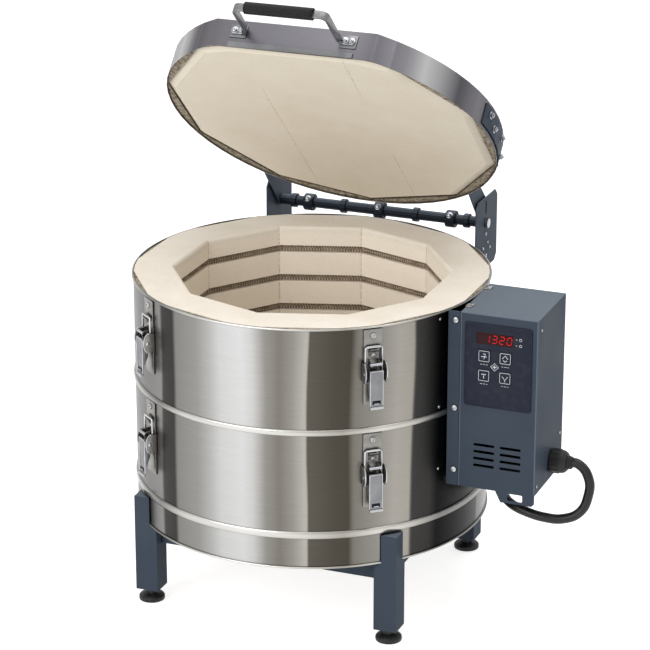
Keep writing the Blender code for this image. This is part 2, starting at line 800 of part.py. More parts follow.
def add_lid(kiln):
    """The lid in its closed place under an empty on the hinge, which stands it open."""
    hinge = add_empty("lid_hinge", kiln, (0.0, HINGE_Y, HINGE_Z),
                      (-math.radians(LID_OPEN_DEGREES), 0.0, 0.0))
    home = (0.0, -HINGE_Y, -HINGE_Z)
    brick_flat = LID_FRONT_FLAT - JACKET_SHEET - SEAT_GAP
    hot = lid_plan(LID_SLAB_APOTHEM - LID_CHAMFER, brick_flat - LID_CHAMFER)
    full = lid_plan(LID_SLAB_APOTHEM, brick_flat)
    slab = loft("lid_slab", [
        [(x, y, LID_BOTTOM) for x, y in hot],
        [(x, y, LID_BOTTOM + LID_CHAMFER_DEPTH) for x, y in full],
        [(x, y, LID_TOP) for x, y in full],
    ])
    add_piece("lid_slab", slab, firebrick(), hinge, home)

    outer = band_outline(LID_RADIUS, LID_FRONT_FLAT)
    inner = band_outline(LID_RADIUS - JACKET_SHEET, LID_FRONT_FLAT - JACKET_SHEET)
    loops = []
    for (out_x, out_y), (in_x, in_y) in zip(outer, inner):
        loops.append([(in_x, in_y, LID_BOTTOM), (out_x, out_y, LID_BOTTOM),
                      (out_x, out_y, LID_TOP), (in_x, in_y, LID_TOP)])
    band = loft("lid_band", loops, closed=True)
    add_piece("lid_band", band, stainless(), hinge, home, smooth=True)

    face = -LID_FRONT_FLAT - SEAT_GAP
    lip = block("lid_lip", (-LIP_LENGTH / 2, face - LIP_THICKNESS, LID_BOTTOM),
                (LIP_LENGTH / 2, face, LID_BOTTOM + LIP_HEIGHT))
    add_piece("lid_lip", lip, chrome(), hinge, home)
    add_handle(hinge, home, face)
    for side, side_name in ((-1, "left"), (1, "right")):
        add_piece(f"lid_arm_{side_name}", lid_arm(side), blue_grey_paint(), hinge, home)


def add_handle(hinge, home, face):
    """The bent strap on the band's flat front, and its ribbed grip."""
    foot_y = face - STRAP_THICKNESS / 2
    grip_y = face - HANDLE_STANDOFF
    half = HANDLE_SPAN / 2
    corners = [(-half - HANDLE_FOOT, foot_y), (-half, foot_y), (-half, grip_y),
               (half, grip_y), (half, foot_y), (half + HANDLE_FOOT, foot_y)]
    outline = strap_outline(bent_path(corners, HANDLE_BEND), STRAP_THICKNESS)
    middle = (LID_BOTTOM + LIP_HEIGHT + LID_TOP) / 2
    strap = prism("lid_handle", outline, middle - STRAP_WIDTH / 2, middle + STRAP_WIDTH / 2)
    add_piece("lid_handle", strap, chrome(), hinge, home)

    pitch = GRIP_LENGTH / (2 * GRIP_RIBS)
    profile = [(GRIP_BORE_RADIUS, -GRIP_LENGTH / 2)]
    for count in range(2 * GRIP_RIBS + 1):
        radius = GRIP_VALLEY_RADIUS if count % 2 == 0 else GRIP_RADIUS
        profile.append((radius, -GRIP_LENGTH / 2 + count * pitch))
    profile.append((GRIP_BORE_RADIUS, GRIP_LENGTH / 2))
    grip = turned_ring("handle_grip", profile, GRIP_SEGMENTS, "X", (grip_y, middle))
    add_piece("handle_grip", grip, black_rubber(), hinge, home)


def lid_arm(side):
    """A strap round the band that turns back along the side to an eye on the hinge."""
    radius = LID_RADIUS + SEAT_GAP + ARM_THICKNESS / 2
    end = math.degrees(math.acos((ARM_INSIDE + ARM_THICKNESS / 2) / radius))
    low = LID_BOTTOM + ARM_RISE
    high = low + ARM_HEIGHT
    counts = range(ARM_FIRST_FACET, math.floor(end / FACET_DEGREES) + 1)
    turns = [FACET_DEGREES * count for count in counts] + [end]
    path = [Vector(polar(radius, turn)) for turn in turns]
    outline = [(side * x, y) for x, y in strap_outline(path, ARM_THICKNESS)]
    strap = prism("arm_strap", outline, low, high)
    root_y = math.sqrt((LID_RADIUS + SEAT_GAP) ** 2 - ARM_INSIDE ** 2)
    eye = [(HINGE_Y + across, HINGE_Z + up) for across, up in circle(ARM_EYE_RADIUS, 16)]
    crown = [point for point in eye if point[1] > HINGE_Z + ARM_EYE_RADIUS / 2]
    base = [point for point in eye if point[1] < HINGE_Z - ARM_EYE_RADIUS / 2]
    tail = [point for point in eye if abs(point[1] - HINGE_Z) <= ARM_EYE_RADIUS / 2
            and point[0] > HINGE_Y]
    side_view = [(root_y, low), *base, *tail, *crown, (HINGE_Y - ARM_EYE_RADIUS, high),
                 (root_y, high)]
    across = sorted((side * ARM_INSIDE, side * ARM_OUTSIDE))
    plate = prism("arm_plate", side_view, *across, along="X")
    bore = turned("bore", [(BORE_RADIUS, across[0] - CUT_OVERRUN),
                           (BORE_RADIUS, across[1] + CUT_OVERRUN)], along="X",
                  centre=(HINGE_Y, HINGE_Z))
    return cut(joined(strap, plate), bore)


def side_plate(side):
    """A fixed hinge plate with a curved flange against the jacket."""
    front = HINGE_Y - SIDE_PLATE_FRONT
    back = HINGE_Y + SIDE_PLATE_BACK
    top = HINGE_Z + SIDE_PLATE_TOP
    neck = HINGE_Z - SIDE_PLATE_NECK
    bottom = HINGE_Z - SIDE_PLATE_DROP
    flange_inside = JACKET_RADIUS + SEAT_GAP
    flange_outside = flange_inside + SIDE_PLATE_THICKNESS
    root = math.sqrt(flange_outside ** 2 - PLATE_INSIDE ** 2) - SIDE_PLATE_THICKNESS / 2
    corner = SIDE_PLATE_CORNER
    outline = [(root, bottom), (back - corner, bottom), (back, bottom + corner),
               (back, top - corner), (back - corner, top), (front + corner, top),
               (front, top - corner), (front, neck), (root, HINGE_Z - SIDE_PLATE_FLANGE_HIGH)]
    across = sorted((side * PLATE_INSIDE, side * PLATE_OUTSIDE))
    plate = prism("side_plate", outline, *across, along="X")
    end = math.degrees(math.acos(PLATE_INSIDE / flange_outside))
    arc = [Vector(polar(flange_inside + SIDE_PLATE_THICKNESS / 2,
                        end - SIDE_PLATE_FLANGE_DEGREES * step / BEND_STEPS))
           for step in range(BEND_STEPS + 1)]
    flange_plan = [(side * x, y) for x, y in strap_outline(arc, SIDE_PLATE_THICKNESS)]
    flange = prism("flange", flange_plan, HINGE_Z - SIDE_PLATE_FLANGE_LOW,
                   HINGE_Z - SIDE_PLATE_FLANGE_HIGH)
    bore = turned("bore", [(BORE_RADIUS, across[0] - CUT_OVERRUN),
                           (BORE_RADIUS, across[1] + CUT_OVERRUN)], along="X",
                  centre=(HINGE_Y, HINGE_Z))
    slot = prism("slot", rectangle(HINGE_Y - SIDE_PLATE_SLOT_WIDTH / 2,
                                   HINGE_Z + SIDE_PLATE_SLOT_RISE,
                                   HINGE_Y + SIDE_PLATE_SLOT_WIDTH / 2,
                                   HINGE_Z + SIDE_PLATE_SLOT_RISE + SIDE_PLATE_SLOT_LENGTH),
                 across[0] - CUT_OVERRUN, across[1] + CUT_OVERRUN, along="X")
    return cut(joined(plate, flange), bore, slot)


def add_hinge(kiln):
    """Side plates, the rod through them and the tube that covers the rod."""
    for side, side_name in ((-1, "left"), (1, "right")):
        add_piece(f"hinge_plate_{side_name}", side_plate(side), blue_grey_paint(), kiln)
    shank = PLATE_OUTSIDE + SEAT_GAP
    tip = shank + ROD_HEAD_LENGTH
    profile = [(ROD_HEAD_RADIUS, -tip), (ROD_HEAD_RADIUS, -shank), (ROD_RADIUS, -shank),
               (ROD_RADIUS, shank), (ROD_HEAD_RADIUS, shank), (ROD_HEAD_RADIUS, tip)]
    rod = turned("hinge_rod", profile, SMALL_ROUND, "X", (HINGE_Y, HINGE_Z))
    add_piece("hinge_rod", rod, chrome(), kiln)

    half = ARM_INSIDE - SEAT_GAP
    bore = BORE_RADIUS
    section = [(bore, -half), (TUBE_RADIUS, -half)]
    for share in COLLAR_SHARES:
        start = share * half - COLLAR_LENGTH / 2
        section += [(TUBE_RADIUS, start), (COLLAR_RADIUS, start),
                    (COLLAR_RADIUS, start + COLLAR_LENGTH), (TUBE_RADIUS, start + COLLAR_LENGTH)]
    section += [(TUBE_RADIUS, half), (bore, half)]
    tube = turned_ring("hinge_tube", section, SMALL_ROUND, "X", (HINGE_Y, HINGE_Z))
    add_piece("hinge_tube", tube, dark_paint(), kiln)


def latch_plate():
    """Base of a latch: its sheet, outer cheeks, inner ears and the hook for the bail."""
    half = LATCH_WIDTH / 2
    sheet = block("latch_plate", (-half, SEAT_GAP, -LATCH_LENGTH),
                  (half, SEAT_GAP + LATCH_SHEET, 0.0))
    face = SEAT_GAP + LATCH_SHEET
    parts = []
    dome = [(SEAT_GAP, -LATCH_PIVOT_DROP - CHEEK_RADIUS)]
    for step in range(7):
        out, up = polar(1, -90 + 180 * step / 6)
        dome.append((CHEEK_REACH - CHEEK_RADIUS / 2 + out * CHEEK_RADIUS / 2,
                     -LATCH_PIVOT_DROP + up * CHEEK_RADIUS))
    dome.append((SEAT_GAP, -LATCH_PIVOT_DROP + CHEEK_RADIUS))
    cheek = BAIL_HALF_WIDTH + BAIL_WIRE / 2 + CHEEK_CLEARANCE
    for side in (-1, 1):
        near = sorted((side * cheek, side * (cheek + CHEEK_SHEET)))
        parts.append(prism("cheek", dome, *near, along="X"))
        root = sorted((side * (half - WELD_DEPTH), side * (cheek + WELD_DEPTH)))
        parts.append(block("cheek_root", (root[0], SEAT_GAP, -LATCH_PIVOT_DROP - CHEEK_ROOT),
                           (root[1], face, -LATCH_PIVOT_DROP + CHEEK_ROOT)))
        ear = [(face - WELD_DEPTH, -LATCH_PIVOT_DROP - EAR_RADIUS),
               (LATCH_PIVOT_REACH, -LATCH_PIVOT_DROP - EAR_RADIUS),
               (LATCH_PIVOT_REACH + EAR_RADIUS, -LATCH_PIVOT_DROP - EAR_RADIUS / 2),
               (LATCH_PIVOT_REACH + EAR_RADIUS, -LATCH_PIVOT_DROP + EAR_RADIUS / 2),
               (LATCH_PIVOT_REACH, -LATCH_PIVOT_DROP + EAR_RADIUS),
               (face - WELD_DEPTH, -LATCH_PIVOT_DROP + EAR_RADIUS)]
        near = sorted((side * EAR_HALF_GAP, side * (EAR_HALF_GAP + EAR_SHEET)))
        parts.append(prism("ear", ear, *near, along="X"))
    drop = BAIL_BOTTOM_DROP - LATCH_PIVOT_DROP
    over_centre = math.hypot(LATCH_PIVOT_REACH - bail_reach(), drop) - drop
    hook_top = -BAIL_TOP_DROP - BAIL_WIRE / 2 - SEAT_GAP - over_centre
    parts.append(block("hook", (-HOOK_WIDTH / 2, face - WELD_DEPTH, hook_top - HOOK_HEIGHT),
                       (HOOK_WIDTH / 2, bail_reach() + BAIL_WIRE, hook_top)))
    radius = LATCH_PIN_RADIUS + SEAT_GAP
    hole = turned("hole", [(radius, -EAR_HALF_GAP - EAR_SHEET - SEAT_GAP),
                           (radius, EAR_HALF_GAP + EAR_SHEET + SEAT_GAP)], 8, "X",
                  (LATCH_PIVOT_REACH, -LATCH_PIVOT_DROP))
    return cut(joined(sheet, *parts), hole)


def bail_reach():
    """How far the middle of the bail's wire stands off the jacket."""
    return LEVER_BACK - SEAT_GAP - BAIL_WIRE / 2


def latch_lever():
    """A lever about its pivot: two side walls, an outer face, a lip and the pin."""
    back = LEVER_BACK - LATCH_PIVOT_REACH
    face = LEVER_FACE - LATCH_PIVOT_REACH
    skin = face - LEVER_FACE_SHEET
    outline = [(back, LEVER_HEAD_TOP), (face, LEVER_HEAD_TOP),
               (face, -LEVER_LENGTH + LEVER_LIP), (face + LEVER_LIP, -LEVER_LENGTH),
               (skin + LEVER_LIP, -LEVER_LENGTH - LEVER_FACE_SHEET),
               (skin, -LEVER_LENGTH + LEVER_LIP - LEVER_FACE_SHEET),
               (skin, -LEVER_HEAD_BOTTOM), (back, -LEVER_HEAD_BOTTOM + LEVER_HEAD_TOP)]
    body = prism("latch_lever", outline, -LEVER_HALF_WIDTH, LEVER_HALF_WIDTH, along="X")
    inside = LEVER_HALF_WIDTH - LEVER_SKIN
    room = block("room", (-inside, back - CUT_OVERRUN, -LEVER_HEAD_BOTTOM - CUT_OVERRUN),
                 (inside, skin, LEVER_HEAD_TOP + CUT_OVERRUN))
    pin = turned("pin", [(LATCH_PIN_RADIUS, -LEVER_HALF_WIDTH + WELD_DEPTH),
                         (LATCH_PIN_RADIUS, LEVER_HALF_WIDTH - WELD_DEPTH)], 8, "X")
    return joined(cut(body, room), pin)


def bail_points():
    """The bail's closed loop of wire, about its lower bar."""
    rise = BAIL_BOTTOM_DROP - BAIL_TOP_DROP
    outline = rounded_rectangle(-BAIL_HALF_WIDTH, 0.0, BAIL_HALF_WIDTH, rise, BAIL_CORNER, 2)
    return [(across, 0.0, up) for across, up in outline]


def add_latches(kiln):
    """Four draw latches, each with its plate, lever and bail."""
    plate_mesh = latch_plate()
    lever_mesh = latch_lever()
    for ring, ring_name in enumerate(RING_NAMES):
        for side, side_name in ((-1, "left"), (1, "right")):
            degrees = -90 + side * LATCH_FROM_FRONT_DEGREES
            name = f"{ring_name}_{side_name}"
            base = add_empty(f"latch_seat_{name}", kiln,
                             (*polar(JACKET_RADIUS, degrees),
                              ring_level(ring + 1) - LATCH_DROP),
                             (0.0, 0.0, math.radians(degrees - 90)))
            add_piece(f"latch_plate_{name}", plate_mesh, chrome(), base)
            pivot = add_empty(f"latch_pivot_{name}", base,
                              (0.0, LATCH_PIVOT_REACH, -LATCH_PIVOT_DROP))
            add_piece(f"latch_lever_{name}", lever_mesh, chrome(), pivot)
            axle = add_empty(f"bail_pivot_{name}", base,
                             (0.0, bail_reach(), -BAIL_BOTTOM_DROP))
            bail = add_tube(f"latch_bail_{name}", bail_points(), BAIL_WIRE / 2, chrome(),
                            axle, 1)
            bail.data.splines[0].use_cyclic_u = True


def add_case(kiln):
    """The steel case, its front panel and what is mounted inside."""
    shell = block("control_case", (CASE_LEFT, CASE_FRONT, PANEL_BOTTOM),
                  (PANEL_RIGHT, CASE_BACK, PANEL_TOP))
    room = block("room", (CASE_LEFT + CASE_SHEET, CASE_FRONT - CUT_OVERRUN,
                          PANEL_BOTTOM + CASE_SHEET),
                 (PANEL_RIGHT - CASE_SHEET, CASE_BACK - CASE_SHEET, PANEL_TOP - CASE_SHEET))
    gland_hole = turned("gland_hole", [
        (GLAND_NECK_RADIUS + SEAT_GAP, PANEL_RIGHT - CASE_SHEET - CUT_OVERRUN),
        (GLAND_NECK_RADIUS + SEAT_GAP, PANEL_RIGHT + CUT_OVERRUN)],
        16, "X", (GLAND_Y, GLAND_Z))
    probe = turned("probe_hole", [
        (PROBE_RADIUS + SEAT_GAP, CASE_LEFT - CUT_OVERRUN),
        (PROBE_RADIUS + SEAT_GAP, CASE_LEFT + CASE_SHEET + CUT_OVERRUN)],
        along="X", centre=(0.0, PROBE_Z))
    add_piece("control_case", cut(shell, room, gland_hole, probe), blue_grey_paint(), kiln)
    add_piece("control_panel", control_panel(), blue_grey_paint(), kiln)
    add_keypad(kiln)
    add_inner_parts(kiln)

    outline = [
        (GLAND_NUT_RADIUS, PANEL_RIGHT - CASE_SHEET - SEAT_GAP - GLAND_NUT_LENGTH),
        (GLAND_NUT_RADIUS, PANEL_RIGHT - CASE_SHEET - SEAT_GAP),
        (GLAND_NECK_RADIUS, PANEL_RIGHT - CASE_SHEET - SEAT_GAP),
        (GLAND_NECK_RADIUS, PANEL_RIGHT + SEAT_GAP),
        (GLAND_FLANGE_RADIUS, PANEL_RIGHT + SEAT_GAP),
        (GLAND_FLANGE_RADIUS, PANEL_RIGHT + GLAND_FLANGE_LENGTH),
        (GLAND_TIP_RADIUS, GLAND_TIP),
    ]
    gland = turned("cord_gland", outline, 16, "X", (GLAND_Y, GLAND_Z))
    add_piece("cord_gland", gland, black_rubber(), kiln)

    head = CASE_LEFT + CASE_SHEET + SEAT_GAP
    probe_profile = [(PROBE_RADIUS, CHAMBER_APOTHEM - PROBE_REACH), (PROBE_RADIUS, head),
                     (PROBE_HEAD_RADIUS, head), (PROBE_HEAD_RADIUS, head + PROBE_HEAD_LENGTH)]
    thermocouple = turned("thermocouple", probe_profile, SMALL_ROUND, "X", (0.0, PROBE_Z))
    add_piece("thermocouple", thermocouple, finish("probe_ceramic", (0.7, 0.66, 0.58), 0.7),
              kiln)


def through_panel(outline):
    """A cutter through the panel and whatever lies on it."""
    return prism("opening", outline, PANEL_FRONT - CUT_OVERRUN, PANEL_Y + CUT_OVERRUN, "Y")


def key_places():
    """Row, side and middle of each key."""
    for row, row_name in enumerate(KEY_ROWS):
        z = KEYPAD_TOP - KEY_TOP_INSET - KEY_SIZE / 2 - row * KEY_ROW_SPACING
        for side, side_name in enumerate(KEY_SIDES):
            x = KEYPAD_LEFT + KEY_SIDE_INSET + KEY_SIZE / 2 + side * KEY_SPACING
            yield f"key_{row_name}_{side_name}", x, z


def key_openings():
    """Outlines of the four key openings, with the keys' clearance."""
    half = KEY_SIZE / 2 + SEAT_GAP
    return [rectangle(x - half, z - half, x + half, z + half) for _, x, z in key_places()]


def control_panel():
    """Front sheet with its flange on the left, vents, key openings and lower tab."""
    tab_bottom = PANEL_BOTTOM - TAB_DROP
    tab_left = PANEL_RIGHT - TAB_WIDTH
    outline = [(PANEL_LEFT, PANEL_BOTTOM), (tab_left, PANEL_BOTTOM),
               (tab_left + TAB_DROP / 2, tab_bottom), (PANEL_RIGHT, tab_bottom),
               (PANEL_RIGHT, PANEL_TOP), (PANEL_LEFT, PANEL_TOP)]
    panel = prism("control_panel", outline, PANEL_FRONT, PANEL_Y, "Y")
    openings = [through_panel(points) for points in key_openings()]
    for column in range(VENT_COLUMNS):
        left = PANEL_RIGHT - VENT_INSET - VENT_WIDTH + column * VENT_SPACING
        for row in range(VENT_ROWS):
            top = PANEL_BOTTOM + VENT_RISE - row * VENT_PITCH
            openings.append(through_panel(rectangle(left, top - VENT_HEIGHT,
                                                    left + VENT_WIDTH, top)))
    low = tab_bottom + TAB_HOLE_RISE
    right = PANEL_RIGHT - TAB_HOLE_INSET
    openings.append(through_panel(rounded_rectangle(
        right - TAB_HOLE_WIDTH, low, right, low + TAB_HOLE_HEIGHT, TAB_HOLE_CORNER, 2)))
    return cut(panel, *openings)


def add_keypad(kiln):
    """The keypad overlay, its display window and four keys that travel."""
    outline = rounded_rectangle(KEYPAD_LEFT, KEYPAD_BOTTOM, KEYPAD_RIGHT, KEYPAD_TOP,
                                KEYPAD_CORNER)
    overlay = prism("keypad_overlay", outline, KEYPAD_FRONT, KEYPAD_BACK, "Y")
    right = DISPLAY_LEFT + DISPLAY_WIDTH
    bottom = DISPLAY_TOP - DISPLAY_HEIGHT
    window = rectangle(DISPLAY_LEFT - SEAT_GAP, bottom - SEAT_GAP,
                       right + SEAT_GAP, DISPLAY_TOP + SEAT_GAP)
    openings = [through_panel(points) for points in (window, *key_openings())]
    add_piece("keypad_overlay", cut(overlay, *openings), keypad_film(), kiln)
    glass = block("display_window", (DISPLAY_LEFT, KEYPAD_FRONT, bottom),
                  (right, KEYPAD_BACK, DISPLAY_TOP))
    add_piece("display_window", glass, finish("display_red", (0.06, 0.004, 0.004), 0.15), kiln)
    half = KEY_SIZE / 2
    for name, x, z in key_places():
        key = block(name, (-half, 0.0, -half),
                    (half, PANEL_Y + KEY_STEM - KEYPAD_FRONT + KEY_PROUD, half))
        add_piece(name, key, keypad_film(), kiln, (x, KEYPAD_FRONT - KEY_PROUD, z))


def centred_block(name, size, x, back, z):
    """A block of a size whose back face lies on the case's back wall."""
    return block(name, (x - size[0] / 2, back - size[1], z - size[2] / 2),
                 (x + size[0] / 2, back, z + size[2] / 2))


def add_inner_parts(kiln):
    """Controller board, relay, transformer and supply terminals."""
    middle_x = (KEYPAD_LEFT + KEYPAD_RIGHT) / 2
    middle_z = (KEYPAD_TOP + KEYPAD_BOTTOM) / 2
    front = PANEL_Y + BOARD_STANDOFF
    left = middle_x - BOARD_WIDTH / 2
    right = middle_x + BOARD_WIDTH / 2
    low = middle_z - BOARD_HEIGHT / 2
    high = middle_z + BOARD_HEIGHT / 2
    board = block("controller_board", (left, front, low),
                  (right, front + BOARD_THICKNESS, high))
    posts = []
    for x in (left + STANDOFF_INSET, right - STANDOFF_INSET):
        for z in (low + STANDOFF_INSET, high - STANDOFF_INSET):
            posts.append(turned("post", [(STANDOFF_RADIUS, PANEL_Y + SEAT_GAP),
                                         (STANDOFF_RADIUS, front + BOARD_THICKNESS / 2)],
                                8, "Y", (x, z)))
    add_piece("controller_board", joined(board, *posts),
              finish("board_green", (0.02, 0.10, 0.05), 0.5), kiln)

    wall = CASE_BACK - CASE_SHEET - SEAT_GAP
    x, z = CASE_LEFT + RELAY_PLACE[0], PANEL_TOP - RELAY_PLACE[1]
    relay = joined(centred_block("relay", RELAY_BASE, x, wall, z),
                   centred_block("relay_body", RELAY_SIZE, x, wall - WELD_DEPTH, z))
    add_piece("relay", relay, finish("relay_case", (0.05, 0.05, 0.06), 0.4), kiln)
    x, z = CASE_LEFT + TRANSFORMER_PLACE[0], PANEL_TOP - TRANSFORMER_PLACE[1]
    transformer = joined(centred_block("transformer", TRANSFORMER_CORE, x, wall, z),
                         centred_block("coil", TRANSFORMER_COIL, x, wall - WELD_DEPTH, z))
    add_piece("transformer", transformer, finish("core_steel", (0.2, 0.2, 0.2), 0.5, 0.8), kiln)
    x, z = CASE_LEFT + TERMINAL_PLACE[0], PANEL_TOP - TERMINAL_PLACE[1]
    terminals = centred_block("terminal_block", TERMINAL_SIZE, x, wall, z)
    pitch = TERMINAL_SIZE[0] / TERMINAL_SLOTS
    slots = []
    for count in range(TERMINAL_SLOTS):
        middle = x - TERMINAL_SIZE[0] / 2 + (count + 1 / 2) * pitch
        slots.append(block("slot", (middle - TERMINAL_SLOT / 2, wall - TERMINAL_SIZE[1]
                                    - CUT_OVERRUN, z - TERMINAL_SIZE[2] / 2 - CUT_OVERRUN),
                           (middle + TERMINAL_SLOT / 2, wall - TERMINAL_SIZE[1]
                            + TERMINAL_SLOT, z + TERMINAL_SIZE[2] / 2 + CUT_OVERRUN)))
    add_piece("terminal_block", cut(terminals, *slots),
              finish("terminal_moulding", (0.35, 0.33, 0.28), 0.6), kiln)


def smooth_route(points, step):
    """Even points on a smooth curve through the route's own points."""
    fine = []
    padded = [points[0] * 2 - points[1], *points, points[-1] * 2 - points[-2]]
    for first, start, end, last in zip(padded, padded[1:], padded[2:], padded[3:]):
        for count in range(16):
            t = count / 16
            fine.append(start + (end - first) * (t / 2)
                        + (first * 2 - start * 5 + end * 4 - last) * (t * t / 2)
                        + (start * 3 - first - end * 3 + last) * (t ** 3 / 2))
    fine.append(points[-1])
    lengths = [0.0]
    for before, after in zip(fine, fine[1:]):
        lengths.append(lengths[-1] + (after - before).length)
    count = max(2, round(lengths[-1] / step))
    even = []
    index = 0
    for number in range(count + 1):
        goal = lengths[-1] * number / count
        while index < len(fine) - 2 and lengths[index + 1] < goal:
            index += 1
        share = (goal - lengths[index]) / (lengths[index + 1] - lengths[index])
        even.append(fine[index].lerp(fine[index + 1], share))
    return even, lengths[-1]


def coil_points():
    """The put-away turns: they spiral in on the floor, and the end climbs onto them."""
    points = []
    steps = round(COIL_TURNS * COIL_STEPS)
    for step in range(steps + 1):
        turn = step / COIL_STEPS
        across, along = polar(COIL_RADIUS - COIL_PITCH * turn, -90 - 360 * turn)
        climb = max(0.0, 1 - (COIL_TURNS - turn) / COIL_CLIMB_TURNS)
        rise = COIL_CLIMB * climb * climb * (3 - 2 * climb)
        points.append(Vector((COIL_CENTRE[0] + across, COIL_CENTRE[1] + along,
                              COIL_REST + rise)))
    return points


def add_cord(kiln):
    """The free cord, its coil behind the stand and the plug that lies on the coil."""
    turns = coil_points()
    back = (turns[0] - turns[1]).normalized()
    start = turns[0] + back * SEAT_GAP
    exit_face = Vector((GLAND_TIP + SEAT_GAP, GLAND_Y, GLAND_Z))
    lead = Vector((2 * CORD_RADIUS, 0.0, 0.0))
    route = [exit_face + lead, *map(Vector, CORD_ROUTE), start + back * (2 * CORD_RADIUS)]
    run, run_length = smooth_route(route, CORD_STEP)
    run = [exit_face, *run, start]
    run_length += 4 * CORD_RADIUS
    add_tube("cord_run", run, CORD_RADIUS, black_rubber(), kiln, 2)

    heading = (turns[-1] - turns[-2]).normalized()
    heading.z = 0.0
    heading.normalize()
    turns.append(turns[-1] + heading * (2 * CORD_RADIUS))
    gap = least_gap(turns, 2 * CORD_RADIUS, COIL_STEPS // 2)
    print(f"cord coil: least gap to itself {gap * 1000:.1f} mm")
    coil_length = sum((after - before).length for before, after in zip(turns, turns[1:]))
    print(f"cord length {run_length + coil_length:.3f} m, run {run_length:.3f} m")
    add_tube("cord_coil", turns, CORD_RADIUS, black_rubber(), kiln, 1)

    seat = add_empty("plug_seat", kiln, turns[-1] + heading * SEAT_GAP,
                     (0.0, 0.0, math.atan2(heading.y, heading.x)))
    add_piece("cord_plug", plug_mesh(), black_rubber(), seat)


def plug_mesh():
    """A three-pin plug that points along +X from the cord's end."""
    loops = []
    body_start = PLUG_NECK_LENGTH
    body_end = body_start + PLUG_LENGTH
    neck = circle(PLUG_NECK_RADIUS, 16, 360 / 32)
    wide = rounded_rectangle(-PLUG_WIDTH / 2, -PLUG_HEIGHT / 2, PLUG_WIDTH / 2,
                             PLUG_HEIGHT / 2, PLUG_CORNER)
    for depth, ring in ((0.0, neck), (body_start, neck), (body_start + PLUG_CORNER, wide),
                        (body_end, wide)):
        loops.append([(depth, across, up) for across, up in ring])
    body = loft("cord_plug", loops)
    prongs = []
    start = body_end - WELD_DEPTH
    end = body_end + BLADE_LENGTH
    for side in (-1, 1):
        middle = side * BLADE_SPREAD
        prongs.append(block("blade", (start, middle - BLADE_THICKNESS / 2, -BLADE_WIDTH / 2),
                            (end, middle + BLADE_THICKNESS / 2, BLADE_WIDTH / 2)))
    prongs.append(turned("ground_pin", [(GROUND_PIN_RADIUS, start), (GROUND_PIN_RADIUS, end)],
                         8, "X", (0.0, PLUG_HEIGHT / 2 - 2 * GROUND_PIN_RADIUS
                                  - BLADE_THICKNESS)))
    return joined(body, *prongs)


def main():
    """Build the kiln on its own axis, set beside the world origin."""
    clear_scene()
    kiln = add_empty("kiln_axis", location=(-ORIGIN_X, -ORIGIN_Y, 0.0))
    add_chamber(kiln)
    add_stand(kiln)
    add_lid(kiln)
    add_hinge(kiln)
    add_latches(kiln)
    add_case(kiln)
    add_cord(kiln)
    bpy.context.view_layer.update()


main()
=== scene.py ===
"""The looks of a ten-sided, top-loading ceramic kiln that stands with its lid open.

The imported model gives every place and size. This file dresses it: firebrick, brushed
stainless jackets, painted steel, plated latches, wound heating elements, a keypad and a
supply cord. Places are in metres from the kiln's own axis unless a name says otherwise.
"""

import json
import logging
import math
from dataclasses import dataclass, field
from enum import Enum
from typing import Iterable, Optional, Protocol, Sequence

import bpy
from mathutils import Matrix, Vector

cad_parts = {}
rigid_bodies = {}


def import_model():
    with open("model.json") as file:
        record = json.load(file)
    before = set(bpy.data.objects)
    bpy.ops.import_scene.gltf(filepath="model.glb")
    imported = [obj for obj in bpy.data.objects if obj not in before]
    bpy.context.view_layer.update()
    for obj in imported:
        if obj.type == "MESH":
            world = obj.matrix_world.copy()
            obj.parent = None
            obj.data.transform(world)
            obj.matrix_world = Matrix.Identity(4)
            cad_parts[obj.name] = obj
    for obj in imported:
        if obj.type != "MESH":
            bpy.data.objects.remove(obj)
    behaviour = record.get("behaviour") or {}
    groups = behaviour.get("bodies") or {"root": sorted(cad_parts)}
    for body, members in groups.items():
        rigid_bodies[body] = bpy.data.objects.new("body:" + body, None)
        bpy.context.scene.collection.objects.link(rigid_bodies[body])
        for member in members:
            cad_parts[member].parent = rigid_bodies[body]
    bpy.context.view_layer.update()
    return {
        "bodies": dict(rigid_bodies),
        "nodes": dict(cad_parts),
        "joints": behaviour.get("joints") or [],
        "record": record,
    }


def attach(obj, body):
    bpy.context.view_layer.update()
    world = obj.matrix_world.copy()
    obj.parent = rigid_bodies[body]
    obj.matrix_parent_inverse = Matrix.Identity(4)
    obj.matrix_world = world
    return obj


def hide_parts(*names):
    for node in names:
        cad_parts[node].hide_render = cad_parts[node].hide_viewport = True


LOG = logging.getLogger("kiln")
Point = tuple[float, float, float]
Flat = tuple[float, float]
Socket = bpy.types.NodeSocket

# The kiln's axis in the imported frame, and its lid hinge and open lid from that axis
AXIS = Vector((-0.1035, -0.05585, 0.0))
HINGE = Vector((0.0, 0.4187, 0.7249))
LID_OPEN = math.radians(43.0)
OPENED = (Matrix.Translation(HINGE) @ Matrix.Rotation(-LID_OPEN, 4, "X")
          @ Matrix.Translation(-HINGE))
# The two sides as the direction along X and the name
SIDES = ((-1, "left"), (1, "right"))


def srgb(code: str) -> tuple[float, float, float, float]:
    """Turn an sRGB hex colour to the linear colour that a shader takes.

    Args:
        code: Six hex digits.

    Returns:
        Linear red, green, blue and an alpha of 1.
    """
    values = [int(code[start:start + 2], 16) / 255 for start in (0, 2, 4)]
    linear = [v / 12.92 if v <= 0.04045 else ((v + 0.055) / 1.055) ** 2.4 for v in values]
    return (linear[0], linear[1], linear[2], 1.0)


def polar(radius: float, degrees: float) -> Flat:
    """Give the point of a plan at a radius and an angle from +X."""
    turn = math.radians(degrees)
    return (radius * math.cos(turn), radius * math.sin(turn))


